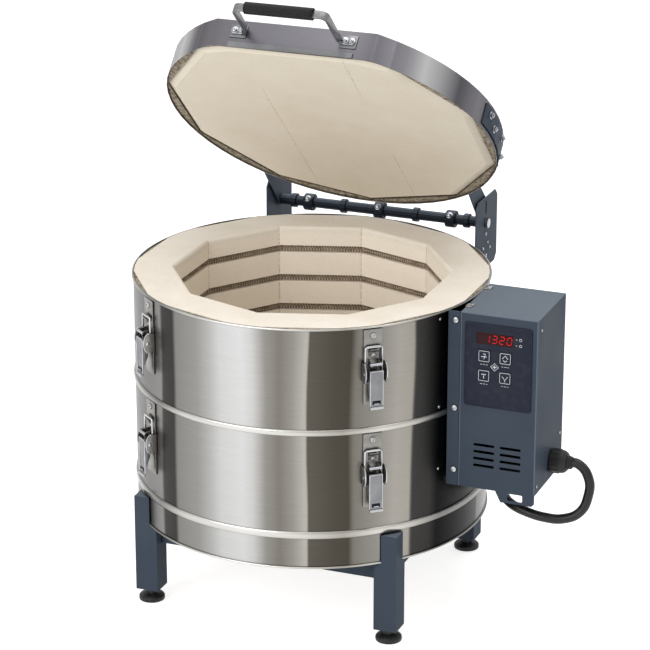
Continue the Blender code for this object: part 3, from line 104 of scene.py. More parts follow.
class Axis(Enum):
    """The direction that a turned or flat piece is built along."""

    X = Matrix(((0, 0, 1, 0), (1, 0, 0, 0), (0, 1, 0, 0), (0, 0, 0, 1)))
    Y = Matrix(((1, 0, 0, 0), (0, 0, -1, 0), (0, 1, 0, 0), (0, 0, 0, 1)))
    Z = Matrix.Identity(4)


class Body(Enum):
    """The bodies that most loose pieces ride on."""

    KILN = "kiln"
    LID = "lid"


class Slot(Enum):
    """The record's material slots."""

    FIREBRICK = "firebrick"
    STAINLESS = "stainless_sheet"
    PAINT = "blue_grey_paint"
    DARK_PAINT = "dark_paint"
    STEEL = "bright_steel"
    RUBBER = "black_rubber"
    WIRE = "element_wire"
    FILM = "keypad_film"
    DISPLAY = "display_red"


class Edge(Enum):
    """The angle in degrees past which a piece's edges stay sharp."""

    CRISP = 35.0
    PRESSED = 40.0
    ROLLED = 50.0
    ROUND = 60.0


class Look(Protocol):
    """What every finish has: its name, its slot and the making of its material."""

    name: str
    slot: Slot

    def material(self) -> bpy.types.Material:
        """Make the material."""


def feed(tree: bpy.types.NodeTree, socket: Socket, value: object) -> None:
    """Link an input or set its value.

    Args:
        tree: The tree that the input is in.
        socket: The input.
        value: A socket, a node, which stands for its first output in use, a hex colour or a
            plain value.
    """
    if isinstance(value, bpy.types.Node):
        value = next(output for output in value.outputs if output.enabled)
    if isinstance(value, Socket):
        tree.links.new(value, socket)
    else:
        socket.default_value = srgb(value) if isinstance(value, str) else value


def add_node(tree: bpy.types.NodeTree, kind: str, *values: object,
             named: Optional[dict[str, object]] = None, **settings: object) -> bpy.types.Node:
    """Add a shader node with its settings and feed its inputs.

    Args:
        tree: The tree that it joins.
        kind: The node's type without its common prefix.
        values: What its inputs take, in the order of those in use.
        named: What further inputs take, by their names.
        settings: Properties of the node, and the stops of a ramp as places and hex colours.

    Returns:
        The new node.
    """
    node = tree.nodes.new("ShaderNode" + kind)
    (first_place, first_colour), *stops = settings.pop("stops", [(0.0, "000000")])
    for name, value in settings.items():
        setattr(node, name, value)
    if stops:
        marks = node.color_ramp.elements
        marks.remove(marks[-1])
        marks[0].position, marks[0].color = first_place, srgb(first_colour)
        for place, colour in stops:
            marks.new(place).color = srgb(colour)
    for socket, value in zip([socket for socket in node.inputs if socket.enabled], values):
        feed(tree, socket, value)
    for name, value in (named or {}).items():
        feed(tree, node.inputs[name], value)
    return node


class Finish:
    """A material under construction: its node tree and its main shader."""

    def __init__(self, name: str, colour: str, roughness: float, metallic: float = 0.0) -> None:
        """Start a material.

        Args:
            name: The finish's own name.
            colour: Its main colour as sRGB hex.
            roughness: How dull it is, from 0 to 1.
            metallic: 1 for bare metal.
        """
        self.material = bpy.data.materials.new(name)
        self.material.use_nodes = True
        self.tree = self.material.node_tree
        self.shader = self.tree.nodes["Principled BSDF"]
        self.feed("Base Color", colour)
        self.feed("Roughness", roughness)
        self.feed("Metallic", metallic)

    def feed(self, name: str, value: object) -> None:
        """Link an input of the shader or set its value."""
        feed(self.tree, self.shader.inputs[name], value)

    def add(self, kind: str, *values: object, **settings: object) -> bpy.types.Node:
        """Add a node to the material, as add_node does."""
        return add_node(self.tree, kind, *values, **settings)

    def place(self, scale: Point = (1, 1, 1), about_lid: bool = False) -> bpy.types.Node:
        """Give object coordinates from the kiln's axis, stretched for a pattern.

        Args:
            scale: How much finer the pattern is along X, Y and Z.
            about_lid: Whether the place is read as in the closed lid.

        Returns:
            The node of the vector that a texture reads.
        """
        vector = self.add("Mapping", self.add("TexCoord").outputs["Object"], -AXIS)
        if about_lid:
            vector = self.add("Mapping", vector, -HINGE)
            vector = self.add("Mapping", vector, HINGE, (LID_OPEN, 0, 0))
        return self.add("Mapping", vector, named={"Scale": scale})

    def crevice(self, distance: float) -> bpy.types.Node:
        """Give 0 deep in a corner and 1 on open faces, for painted shade in the joints."""
        shade = self.add("AmbientOcclusion", named={"Distance": distance}, samples=8)
        return self.add("MapRange", shade.outputs["AO"], 0.25, 0.80)


# How much each finer layer adds to a noise
LAYERS = 0.55


@dataclass(frozen=True)
class Firebrick:
    """Soft insulating firebrick, cut and sanded: cream, open-pored and fully matt.

    The pores are about a millimetre across and are drawn a little coarser so that they show.
    """

    name: str = "insulating_firebrick"
    colour: str = "f3ece1"
    shade: str = "ebe1d2"
    # Painted light: paler colour below a ring's rim, for the light on the inner walls
    inside: str = "fbf1e2"
    joints: bool = True
    about_lid: bool = False
    rim: float = 0.7184
    ring_radius: float = 0.3
    plank: float = 0.1143
    pore_size: float = 0.0022
    patch_size: float = 0.09
    joint_width: float = 0.0012
    fleck: str = "b89f78"
    pit: str = "8f7750"
    joint: str = "9c855e"
    specular: float = 0.25
    slot: Slot = Slot.FIREBRICK

    def material(self) -> bpy.types.Material:
        """Make the brick; a ring gets mitred joints and painted light below its rim."""
        finish = Finish(self.name, self.colour, 0.95)
        add, place = finish.add, finish.place(about_lid=self.about_lid)
        patches = add("TexNoise", place, 1 / self.patch_size, 4.0, LAYERS)
        patches = add("MapRange", patches, 0.35, 0.75)
        colour = add("Mix", patches, self.colour, self.shade, data_type="RGBA")
        # Below the rim the brick is painted paler, as painted light on the inner walls
        if self.joints:
            deep = add("MapRange", add("SeparateXYZ", place).outputs["Z"], self.rim - 0.020,
                       self.rim - 0.001, 1.0, 0.0)
            colour = add("Mix", deep, colour, self.inside, data_type="RGBA")
        grains = add("TexNoise", place, 1 / self.pore_size, 2.0, LAYERS)
        flecks = add("MapRange", grains, 0.58, 0.75, 0.0, 0.30)
        colour = add("Mix", flecks, colour, self.fleck, data_type="RGBA")
        pores = add("TexVoronoi", place, 1 / (3 * self.pore_size))
        scatter = add("MapRange", add("TexNoise", place, 1 / 0.03, 2.0, LAYERS), 0.45, 0.62)
        pits = add("Math", add("MapRange", pores, 0.06, 0.16, 1.0, 0.0), scatter,
                   operation="MULTIPLY")
        colour = add("Mix", add("Math", pits, 0.55, operation="MULTIPLY"), colour, self.pit,
                     data_type="RGBA")
        line = self.joint_mask(finish, place) if self.joints else self.plank_mask(finish, place)
        colour = add("Mix", add("Math", line, 0.6, operation="MULTIPLY"), colour, self.joint,
                     data_type="RGBA")
        height = add("Math", grains, pits, operation="SUBTRACT")
        height = add("Math", height, add("Math", line, 2.0, operation="MULTIPLY"),
                     operation="SUBTRACT")
        finish.feed("Base Color", colour)
        finish.feed("Normal", add("Bump", 0.6, 0.0006, named={"Height": height}))
        finish.feed("Specular IOR Level", self.specular)
        return finish.material

    def joint_mask(self, finish: Finish, place: bpy.types.Node) -> bpy.types.Node:
        """Mark the mitred joints between the ten bricks of a ring, broken here and there."""
        add = finish.add
        parts = add("SeparateXYZ", place)
        turn = add("Math", parts.outputs["Y"], parts.outputs["X"], operation="ARCTAN2")
        sides = add("Math", turn, 10 / math.tau, 20.0, operation="MULTIPLY_ADD")
        off = add("Math", add("Math", sides, operation="FRACT"), 0.5, operation="SUBTRACT")
        off = add("Math", off, operation="ABSOLUTE")
        width = 10 / math.tau * self.joint_width / self.ring_radius
        line = add("MapRange", off, width / 3, width, 1.0, 0.0)
        below = add("MapRange", parts.outputs["Z"], self.rim - 0.0014, self.rim - 0.0008, 1.0,
                    0.0)
        line = add("Math", line, below, operation="MULTIPLY")
        broken = add("MapRange", add("TexNoise", place, 1 / 0.004, 1.0, LAYERS), 0.40, 0.52)
        return add("Math", line, broken, operation="MULTIPLY")

    def plank_mask(self, finish: Finish, place: bpy.types.Node) -> bpy.types.Node:
        """Mark the two glued joints of a slab, hair-thin and only seen in places."""
        add = finish.add
        across = add("Math", add("SeparateXYZ", place).outputs["X"], operation="ABSOLUTE")
        off = add("Math", across, self.plank, operation="SUBTRACT")
        line = add("MapRange", add("Math", off, operation="ABSOLUTE"), 0.0004, 0.0012, 1.0, 0.0)
        broken = add("MapRange", add("TexNoise", place, 1 / 0.006, 1.0, LAYERS), 0.45, 0.55)
        seen = add("MapRange", add("TexNoise", place, 1 / 0.16, 1.0, LAYERS), 0.42, 0.50)
        return add("Math", line, add("Math", broken, seen, operation="MULTIPLY"),
                   operation="MULTIPLY")


@dataclass(frozen=True)
class StainlessSheet:
    """Stainless sheet, brushed round the kiln and rolled to a drum.

    A rolled drum returns the room as upright bands, light and dark, which sharpen where the
    sheet turns away; here those reflections are painted into the sheet's colour by angle round
    the kiln. A second ramp over the front alone keeps the bands' edges crisp. The grain is some
    tenths of a millimetre and is drawn coarser to show. Its seams get painted shade.
    """

    name: str
    bands: tuple[tuple[float, str], ...]
    about_lid: bool = False
    roughness: float = 0.30
    grain: float = 0.0016
    tone: str = "cccccc"
    seen_from: float = -150.0
    seen_to: float = 0.0
    seam_shade: str = "1d1c1b"
    slot: Slot = Slot.STAINLESS

    def material(self) -> bpy.types.Material:
        """Make the sheet with painted reflections by angle round the kiln."""
        finish = Finish(self.name, self.tone, self.roughness, 1.0)
        add, parts = finish.add, finish.add("SeparateXYZ", finish.place(about_lid=self.about_lid))
        turn = add("Math", parts.outputs["Y"], parts.outputs["X"], operation="ARCTAN2")
        share = add("Math", turn, 1 / math.tau, 0.5, operation="MULTIPLY_ADD")
        wander = add("TexNoise", finish.place((1, 1, 0.6), self.about_lid), 1 / 0.30, 1.0, LAYERS)
        share = add("Math", share, add("MapRange", wander, 0.3, 0.7, -0.003, 0.003),
                    operation="ADD")
        # The light and dark bands are painted reflections of the room
        stops = [((degrees + 180) / 360, tint) for degrees, tint in self.bands]
        low, high = (self.seen_from + 180) / 360, (self.seen_to + 180) / 360
        near = [((stop - low) / (high - low), tint) for stop, tint in stops
                if low <= stop <= high]
        front = add("ValToRGB", add("MapRange", share, low, high), stops=near)
        fade = 0.004
        ahead = add("Math", add("MapRange", share, low, low + fade),
                    add("MapRange", share, high - fade, high, 1.0, 0.0), operation="MULTIPLY")
        colour = add("Mix", ahead, add("ValToRGB", share, stops=stops), front, data_type="RGBA")
        grain = add("TexNoise", finish.place((0.02, 0.02, 1), self.about_lid), 1 / self.grain,
                    2.0, LAYERS)
        colour = add("Mix", add("MapRange", grain, 0.3, 0.7, 0.92, 1.0), colour, self.tone,
                     data_type="RGBA", blend_type="MULTIPLY")
        # Painted shade darkens the seams
        finish.feed("Base Color", add("Mix", finish.crevice(0.007), self.seam_shade, colour,
                                      data_type="RGBA"))
        finish.feed("Roughness", add("MapRange", grain, 0.3, 0.7, self.roughness - 0.03,
                                     self.roughness + 0.03))
        finish.feed("Normal", add("Bump", 0.15, 0.00002, named={"Height": grain}))
        finish.feed("Anisotropic", 0.4)
        return finish.material


@dataclass(frozen=True)
class PaintedSteel:
    """Sheet and tube under a textured powder coat: satin, with a faint orange peel.

    The peel's bumps are close to two millimetres across. Faces that look up are painted paler,
    as a painted highlight of the light from above, and corners get painted shade.
    """

    name: str = "blue_grey_powder_coat"
    colour: str = "3f4854"
    light: str = "555e6a"
    # Painted highlight on faces that look up, for the light from above
    painted_top_light: str = "737c87"
    roughness: float = 0.46
    specular: float = 0.04
    peel: float = 0.0018
    speck: str = "9aa2ac"
    # Painted shade in corners and joints
    corner: str = "14171b"
    slot: Slot = Slot.PAINT

    def material(self) -> bpy.types.Material:
        """Make the coat, a touch lighter in broad patches."""
        finish = Finish(self.name, self.colour, self.roughness)
        add, place = finish.add, finish.place()
        patches = add("TexNoise", place, 1 / 0.14, 3.0, LAYERS)
        colour = add("Mix", add("MapRange", patches, 0.3, 0.7, 0.0, 0.25), self.colour,
                     self.light, data_type="RGBA")
        # Faces that look up are painted paler: a painted highlight
        rise = add("SeparateXYZ", add("NewGeometry").outputs["Normal"]).outputs["Z"]
        colour = add("Mix", add("MapRange", rise, 0.5, 1.0, 0.0, 0.75), colour, self.painted_top_light,
                     data_type="RGBA")
        specks = add("TexNoise", place, 1 / 0.0012, 1.0, LAYERS)
        colour = add("Mix", add("MapRange", specks, 0.62, 0.72, 0.0, 0.06), colour, self.speck,
                     data_type="RGBA")
        # Painted shade darkens the corners and joints
        finish.feed("Base Color", add("Mix", finish.crevice(0.012), self.corner, colour,
                                      data_type="RGBA"))
        finish.feed("Specular IOR Level", self.specular)
        peel = add("TexNoise", place, 1 / self.peel, 2.0, LAYERS)
        finish.feed("Normal", add("Bump", 0.5, 0.00012, named={"Height": peel}))
        finish.feed("Roughness", add("MapRange", patches, 0.3, 0.7, self.roughness - 0.05,
                                     self.roughness + 0.08))
        return finish.material


@dataclass(frozen=True)
class PlatedSteel:
    """Bright nickel-plated pressed steel: sharp, slightly wavy, with painted shade in its joints.
    """

    name: str = "bright_plated_steel"
    colour: str = "b9babc"
    dark: str = "a4a5a8"
    # Painted shade in joints and hollows
    joint: str = "26272a"
    roughness: float = 0.18
    slot: Slot = Slot.STEEL

    def material(self) -> bpy.types.Material:
        """Make the plate, with painted shade in its hollows."""
        finish = Finish(self.name, self.colour, self.roughness, 1.0)
        add, place = finish.add, finish.place()
        cloud = add("TexNoise", place, 1 / 0.030, 2.0, LAYERS)
        colour = add("Mix", add("MapRange", cloud, 0.35, 0.65), self.dark, self.colour,
                     data_type="RGBA")
        # Painted shade darkens the joints and hollows
        finish.feed("Base Color", add("Mix", finish.crevice(0.006), self.joint, colour,
                                      data_type="RGBA"))
        finish.feed("Roughness", add("MapRange", cloud, 0.3, 0.7, self.roughness + 0.06,
                                     self.roughness))
        waves = add("TexNoise", place, 1 / 0.012, 1.0, LAYERS)
        finish.feed("Normal", add("Bump", 0.15, 0.0001, named={"Height": waves}))
        return finish.material


@dataclass(frozen=True)
class Moulding:
    """Moulded rubber, vinyl or plastic: one colour through, with a fine matt skin.

    The skin of the mould is a few tenths of a millimetre and is drawn a little coarser to show.
    """

    name: str
    colour: str
    roughness: float
    skin: float = 0.0009
    specular: float = 0.4
    scuff: str = "6a6a6c"
    slot: Slot = Slot.RUBBER

    def material(self) -> bpy.types.Material:
        """Make the moulding, faintly scuffed."""
        finish = Finish(self.name, self.colour, self.roughness)
        add, place = finish.add, finish.place()
        scuffs = add("TexNoise", place, 1 / 0.02, 4.0, LAYERS)
        finish.feed("Base Color", add("Mix", add("MapRange", scuffs, 0.5, 0.8, 0.0, 0.12),
                                      self.colour, self.scuff, data_type="RGBA"))
        finish.feed("Roughness", add("MapRange", scuffs, 0.3, 0.7, self.roughness - 0.06,
                                     self.roughness + 0.08))
        skin = add("TexNoise", place, 1 / self.skin, 2.0, LAYERS)
        finish.feed("Normal", add("Bump", 0.5, 0.00008, named={"Height": skin}))
        finish.feed("Specular IOR Level", self.specular)
        return finish.material


@dataclass(frozen=True)
class FibreBlanket:
    """Ceramic-fibre blanket: spun white fibre, matted and torn, with painted shade between tufts.

    The fibres are microns thick and are drawn as strands of a millimetre so that they show.
    """

    name: str = "ceramic_fibre_blanket"
    colour: str = "c9bda8"
    # Painted shade between tufts and in corners
    gap: str = "4a4136"
    tuft: float = 0.009
    strand: float = 0.0016
    tangle: float = 0.7
    specular: float = 0.1
    slot: Slot = Slot.FIREBRICK

    def material(self) -> bpy.types.Material:
        """Make the matted fibre with its shaded gaps."""
        finish = Finish(self.name, self.colour, 0.97)
        add = finish.add
        tufts = add("TexNoise", finish.place(), 1 / self.tuft, 4.0, self.tangle)
        strands = add("TexNoise", finish.place((1, 1, 3)), 1 / self.strand, 3.0, self.tangle)
        height = add("Math", tufts, strands, operation="MULTIPLY")
        # The gaps between tufts and the corners are painted shade
        colour = add("Mix", add("MapRange", height, 0.16, 0.30), self.gap, self.colour,
                     data_type="RGBA")
        finish.feed("Base Color", add("Mix", finish.crevice(0.010), self.gap, colour,
                                      data_type="RGBA"))
        finish.feed("Normal", add("Bump", 1.0, 0.004, named={"Height": height}))
        finish.feed("Specular IOR Level", self.specular)
        return finish.material


@dataclass(frozen=True)
class ElementWire:
    """Iron-chrome resistance wire after many firings: a brown-grey oxide, dry and rough."""

    name: str = "oxidised_element_wire"
    colour: str = "a3917b"
    dark: str = "8f7f6b"
    light: str = "bba994"
    slot: Slot = Slot.WIRE

    def material(self) -> bpy.types.Material:
        """Make the oxide, mottled along the wire."""
        finish = Finish(self.name, self.colour, 0.7, 0.35)
        add = finish.add
        patches = add("TexNoise", finish.place(), 1 / 0.02, 3.0, LAYERS)
        finish.feed("Base Color", add("Mix", add("MapRange", patches, 0.35, 0.65), self.dark,
                                      self.light, data_type="RGBA"))
        return finish.material


@dataclass(frozen=True)
class LitPlastic:
    """Clear red plastic over lamps, glowing by itself; the window's faint glow is painted light.
    """

    name: str
    colour: str
    glow: str
    strength: float
    roughness: float = 0.25
    specular: float = 0.15
    slot: Slot = Slot.DISPLAY

    def material(self) -> bpy.types.Material:
        """Make the lit plastic."""
        finish = Finish(self.name, self.colour, self.roughness)
        finish.feed("Emission Color", self.glow)
        finish.feed("Emission Strength", self.strength)
        finish.feed("Specular IOR Level", self.specular)
        return finish.material


# Painted reflections: the drum's upright bands by angle from +X, with the front at -90
DRUM_PAINTED_REFLECTIONS = (
    (-180, "7a7a78"), (-168, "4a4a4a"), (-158, "4c4c4c"), (-146, "525252"), (-134, "6f6e6b"),
    (-123.8, "949290"), (-122.8, "383633"), (-117.0, "3b3936"), (-115.8, "8f8d89"),
    (-107, "a19f9b"),
    (-102, "bdbcb9"), (-98, "d6d6d5"), (-90, "e0e0e0"), (-86.5, "d4d3d1"), (-82, "9b9893"),
    (-77.5, "86817a"), (-73.5, "9c9892"), (-69.2, "c3bfb9"), (-68.7, "666158"), (-61, "57534b"),
    (-56.2, "524e46"), (-54.4, "87837b"), (-47, "9d9a94"), (-41, "b5b0a8"), (-35.8, "b2ada4"),
    (-35.0, "474645"), (-28, "3c3b3a"), (-24.5, "121214"), (-15, "151517"), (8, "8f8d89"),
    (45, "d0cfcc"), (180, "8a8a88"))
# Painted reflections on the lid's band, by angle round the lid
LID_PAINTED_REFLECTIONS = (
    (-180, "9b989a"), (-150, "77747a"), (-138, "c2c0c1"), (-128, "57545a"), (-116, "7f7c81"),
    (-96, "85838a"), (-70, "8a878d"), (-60, "6a686e"), (-50, "8e8c91"), (-43, "c9c8c8"),
    (-36, "a5a4a6"), (-28, "5a595e"), (-20, "78767b"), (-4, "66646a"), (30, "8c8a8e"),
    (90, "bdbcbc"), (180, "9b989a"))
# Painted reflections on the polished beads
BEAD_PAINTED_REFLECTIONS = (
    (-180, "a9a7a3"), (-146, "c9c7c3"), (-124, "8e8c88"), (-112, "d9d7d2"), (-90, "f0eeea"),
    (-70, "dedbd5"), (-58, "b6b2aa"), (-46, "e6e3dc"), (-36, "d3d0ca"), (-24, "8d8b88"),
    (0, "a5a4a1"), (60, "dddbd7"), (180, "a9a7a3"))

BRICK = Firebrick()
LID_BRICK = Firebrick(name="lid_firebrick", colour="ece3d3", shade="e6dcc9", joints=False,
                      about_lid=True)
FLOOR_BRICK = Firebrick(name="floor_firebrick", joints=False)
BLANKET = FibreBlanket()
WIRE = ElementWire()
JACKET = StainlessSheet("brushed_drum_sheet", DRUM_PAINTED_REFLECTIONS)
LID_SHEET = StainlessSheet("brushed_lid_sheet", LID_PAINTED_REFLECTIONS, about_lid=True, tone="ececec")
BEAD = StainlessSheet("polished_bead", BEAD_PAINTED_REFLECTIONS, tone="d2d2d2")
PAINT = PaintedSteel()
# Paler coat on the case's folded edges: a painted highlight
EDGE_HIGHLIGHT_PAINT = PaintedSteel(name="painted_edge_highlight", colour="606a77", light="747e8a")
DARK_PAINT = PaintedSteel(name="dark_hinge_coat", colour="1d222a", light="2c323b",
                          roughness=0.35, slot=Slot.DARK_PAINT)
PLATE = PlatedSteel()
SATIN_PLATE = PlatedSteel(name="satin_plated_steel", colour="8d8b86", dark="7d7a76",
                          roughness=0.32)
LEVER_PLATE = PlatedSteel(name="brushed_lever_plate", colour="848587", dark="797a7c",
                          roughness=0.34)
RUBBER = Moulding("black_rubber", "131314", 0.50)
GRIP_RUBBER = Moulding("grip_rubber", "0b0b0c", 0.55, specular=0.3)
VINYL = Moulding("black_vinyl", "0f0f10", 0.38)
FILM = Moulding("navy_keypad_film", "1c2130", 0.45, specular=0.18, slot=Slot.FILM)
INK = Moulding("white_ink", "d8dade", 0.6, slot=Slot.STEEL)
DIGITS = LitPlastic("lit_digits", "40060a", "e0141c", 0.95)
# The window is no lamp: its faint red glow is painted light
WINDOW = LitPlastic("dark_red_window", "0c0102", "3a0508", 0.60)

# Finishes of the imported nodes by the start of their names
NODE_LOOKS = (
    ("floor_slab", FLOOR_BRICK), ("lower_brick", BRICK), ("upper_brick", BRICK),
    ("thermocouple", BRICK), ("lid_slab", LID_BRICK), ("lid_band", LID_SHEET),
    ("lid_lip", LEVER_PLATE), ("lid_handle", PLATE), ("lid_arm", PAINT), ("floor_band", PLATE),
    ("lower_jacket", PLATE), ("upper_jacket", PLATE), ("lower_element", WIRE),
    ("upper_element", WIRE), ("latch_", PLATE), ("hinge_rod", PLATE), ("hinge_tube", DARK_PAINT),
    ("hinge_plate", PAINT), ("stand_", PAINT), ("leveling", RUBBER),
    ("handle_grip", GRIP_RUBBER), ("cord_", VINYL), ("control_", PAINT), ("controller", FILM),
    ("key", FILM), ("display", WINDOW), ("relay", RUBBER), ("transformer", DARK_PAINT),
    ("terminal", RUBBER))


@dataclass
class Studio:
    """A white room and floor, soft lamps and the camera at the photograph's angle."""

    azimuth: float = 21.6
    elevation: float = 19.98
    distance: float = 6.2134
    lens: float = 159.04
    sensor: float = 36.0
    target: Point = (0.0304, 0.0, 0.592)
    lit_height: float = 0.6
    lamps: tuple[tuple[str, Point, float, float], ...] = (
        ("key_lamp", (-1.4, -3.6, 2.3), 2.6, 78.0), ("top_lamp", (0.4, 0.2, 3.8), 3.0, 52.0),
        ("fill_lamp", (3.0, -2.4, 1.6), 2.2, 2.0))
    soft_light: float = 0.58
    floor_size: float = 24.0
    floor_glow: float = 0.70

    def build(self) -> None:
        """Set up the camera, the world, the floor and the lamps."""
        self.camera()
        self.world()
        self.floor()
        for name, place, size, power in self.lamps:
            self.lamp(name, place, size, power)

    def camera(self) -> None:
        """Place the camera on its line to the kiln."""
        turn, rise = math.radians(self.azimuth), math.radians(self.elevation)
        back = Vector((math.sin(turn) * math.cos(rise), -math.cos(turn) * math.cos(rise),
                       math.sin(rise)))
        data = bpy.data.cameras.new("camera")
        data.lens = self.lens
        data.sensor_width = self.sensor
        camera = bpy.data.objects.new("camera", data)
        bpy.context.collection.objects.link(camera)
        camera.location = AXIS + Vector(self.target) + back * self.distance
        camera.rotation_euler = back.to_track_quat("Z", "Y").to_euler()
        bpy.context.scene.camera = camera

    def lamp(self, name: str, place: Point, size: float, power: float) -> None:
        """Hang a square soft box that faces the kiln."""
        data = bpy.data.lights.new(name, "AREA")
        data.size = size
        data.energy = power
        lamp = bpy.data.objects.new(name, data)
        bpy.context.collection.objects.link(lamp)
        lamp.location = AXIS + Vector(place)
        aim = lamp.location - (AXIS + Vector((0, 0, self.lit_height)))
        lamp.rotation_euler = aim.to_track_quat("Z", "Y").to_euler()

    def world(self) -> None:
        """Show white where the camera, gloss and glass look, and light softly elsewhere."""
        world = bpy.data.worlds.new("white_room")
        bpy.context.scene.world = world
        world.use_nodes = True
        tree = world.node_tree
        path = add_node(tree, "LightPath")
        seen = path.outputs["Is Camera Ray"]
        for ray in ("Is Glossy Ray", "Is Transmission Ray"):
            seen = add_node(tree, "Math", seen, path.outputs[ray], operation="MAXIMUM")
        ground = tree.nodes["Background"]
        feed(tree, ground.inputs["Strength"],
             add_node(tree, "MapRange", seen, 0.0, 1.0, self.soft_light, 1.0))
        feed(tree, ground.inputs["Color"], "ffffff")
        bpy.context.scene.view_settings.view_transform = "Standard"

    def floor(self) -> None:
        """Lay the plain white floor."""
        bpy.ops.mesh.primitive_plane_add(size=self.floor_size)
        floor = bpy.context.object
        floor.name = "floor"
        finish = Finish("white_floor", "e6e6e6", 0.9)
        path = finish.add("LightPath")
        seen = finish.add("Math", path.outputs["Is Camera Ray"], path.outputs["Is Glossy Ray"],
                          operation="MAXIMUM")
        finish.feed("Emission Color", "ffffff")
        finish.feed("Emission Strength",
                    finish.add("Math", seen, self.floor_glow, operation="MULTIPLY"))
        floor.data.materials.append(finish.material)


# ---------------------------------------------------------------------------
# Modelling calls
# ---------------------------------------------------------------------------

# Radius at which a turned profile stops short of its axis, where its end is then closed
POLE = 0.0002


def clear_selection() -> None:
    """Deselect everything before a modelling call."""
    bpy.ops.object.select_all(action="DESELECT")


def make_active(obj: bpy.types.Object) -> bpy.types.Object:
    """Select one object alone."""
    clear_selection()
    obj.select_set(True)
    bpy.context.view_layer.objects.active = obj
    return obj


def edit_all(obj: bpy.types.Object) -> None:
    """Enter edit mode with the whole mesh selected."""
    make_active(obj)
    bpy.ops.object.mode_set(mode="EDIT")
    bpy.ops.mesh.select_all(action="SELECT")


def leave_edit() -> None:
    """Go back to object mode."""
    bpy.ops.object.mode_set(mode="OBJECT")


def box(low: Sequence[float], high: Sequence[float], bevel: float = 0.0,
        segments: int = 2) -> bpy.types.Object:
    """Shape a box between two corners, with rounded edges.

    Args:
        low: Its lowest corner.
        high: Its highest corner.
        bevel: Width of the rounding.
        segments: Steps of the rounding.

    Returns:
        The new mesh object.
    """
    clear_selection()
    bpy.ops.mesh.primitive_cube_add(size=1.0)
    obj = bpy.context.object
    edit_all(obj)
    size = [b - a for a, b in zip(low, high)]
    centre = [(a + b) / 2 for a, b in zip(low, high)]
    bpy.ops.transform.resize(value=size)
    bpy.ops.transform.translate(value=centre)
    if bevel:
        bpy.ops.mesh.bevel(offset=bevel, segments=segments, affect="EDGES")
    leave_edit()
    return obj


def turned(profile: Sequence[Flat], axis: Axis = Axis.Z, centre: Point = (0, 0, 0),
           segments: int = 32, closed: bool = False) -> bpy.types.Object:
    """Turn a profile round an axis, as on a lathe.

    Args:
        profile: Radius and place along the axis for each point, from low to high.
        axis: The axis that the piece is turned about.
        centre: A point on that axis.
        segments: Steps of the turn.
        closed: Whether the profile is a loop, as for a ring.

    Returns:
        The new mesh object.
    """
    clear_selection()
    line = bpy.data.curves.new("profile", "CURVE")
    line.dimensions = "3D"
    spline = line.splines.new("POLY")
    spline.points.add(len(profile) - 1)
    for point, (radius, rise) in zip(spline.points, profile):
        point.co = (radius, 0.0, rise, 1.0)
    spline.use_cyclic_u = closed
    obj = bpy.data.objects.new("turned", line)
    bpy.context.collection.objects.link(obj)
    make_active(obj)
    bpy.ops.object.convert(target="MESH")
    obj = bpy.context.object
    edit_all(obj)
    bpy.ops.mesh.spin(steps=segments, angle=math.tau, center=(0, 0, 0), axis=(0, 0, 1))
    bpy.ops.mesh.select_all(action="SELECT")
    bpy.ops.mesh.remove_doubles(threshold=1e-6)
    if not closed:
        bpy.ops.mesh.select_all(action="DESELECT")
        bpy.ops.mesh.select_mode(type="EDGE")
        bpy.ops.mesh.select_non_manifold()
        bpy.ops.mesh.edge_face_add()
        bpy.ops.mesh.select_mode(type="VERT")
    bpy.ops.mesh.select_all(action="SELECT")
    bpy.ops.mesh.normals_make_consistent(inside=False)
    leave_edit()
    obj.data.transform(Matrix.Translation(centre) @ axis.value)
    return obj


def sheet(outlines: Sequence[Sequence[Flat]], low: float, high: float, axis: Axis = Axis.Z,
          bevel: float = 0.0) -> bpy.types.Object:
    """Cut a plate from flat outlines, the first its edge and the others holes in it.

    Args:
        outlines: The edge and the holes.
        low: Where the plate starts along its axis.
        high: Where it ends.
        axis: The plate's normal.
        bevel: Rounding of its edges.

    Returns:
        The new mesh object.
    """
    clear_selection()
    flat = bpy.data.curves.new("sheet", "CURVE")
    flat.dimensions = "2D"
    flat.fill_mode = "BOTH"
    flat.extrude = (high - low) / 2 - bevel
    flat.bevel_depth = bevel
    flat.bevel_resolution = 1
    flat.offset = -bevel
    for outline in outlines:
        spline = flat.splines.new("POLY")
        spline.points.add(len(outline) - 1)
        for point, (across, up) in zip(spline.points, outline):
            point.co = (across, up, 0.0, 1.0)
        spline.use_cyclic_u = True
    obj = bpy.data.objects.new("sheet", flat)
    bpy.context.collection.objects.link(obj)
    make_active(obj)
    bpy.ops.object.convert(target="MESH")
    obj = bpy.context.object
    edit_all(obj)
    bpy.ops.mesh.remove_doubles(threshold=1e-6)
    bpy.ops.mesh.normals_make_consistent(inside=False)
    leave_edit()
    obj.data.transform(axis.value @ Matrix.Translation((0, 0, (low + high) / 2)))
    return obj


def wire(points: Sequence[Sequence[float]], radius: float, sides: int = 8,
         closed: bool = False) -> bpy.types.Object:
    """Draw a round wire through points.

    Args:
        points: The wire's middle line.
        radius: Its half thickness.
        sides: Faces round it.
        closed: Whether it is a loop.

    Returns:
        The new mesh object.
    """
    clear_selection()
    line = bpy.data.curves.new("wire", "CURVE")
    line.dimensions = "3D"
    line.bevel_depth = radius
    line.bevel_resolution = max(0, sides // 2 - 2)
    line.use_fill_caps = True
    spline = line.splines.new("POLY")
    spline.points.add(len(points) - 1)
    for point, place in zip(spline.points, points):
        point.co = (*place, 1.0)
    spline.use_cyclic_u = closed
    obj = bpy.data.objects.new("wire", line)
    bpy.context.collection.objects.link(obj)
    make_active(obj)
    bpy.ops.object.convert(target="MESH")
    return bpy.context.object


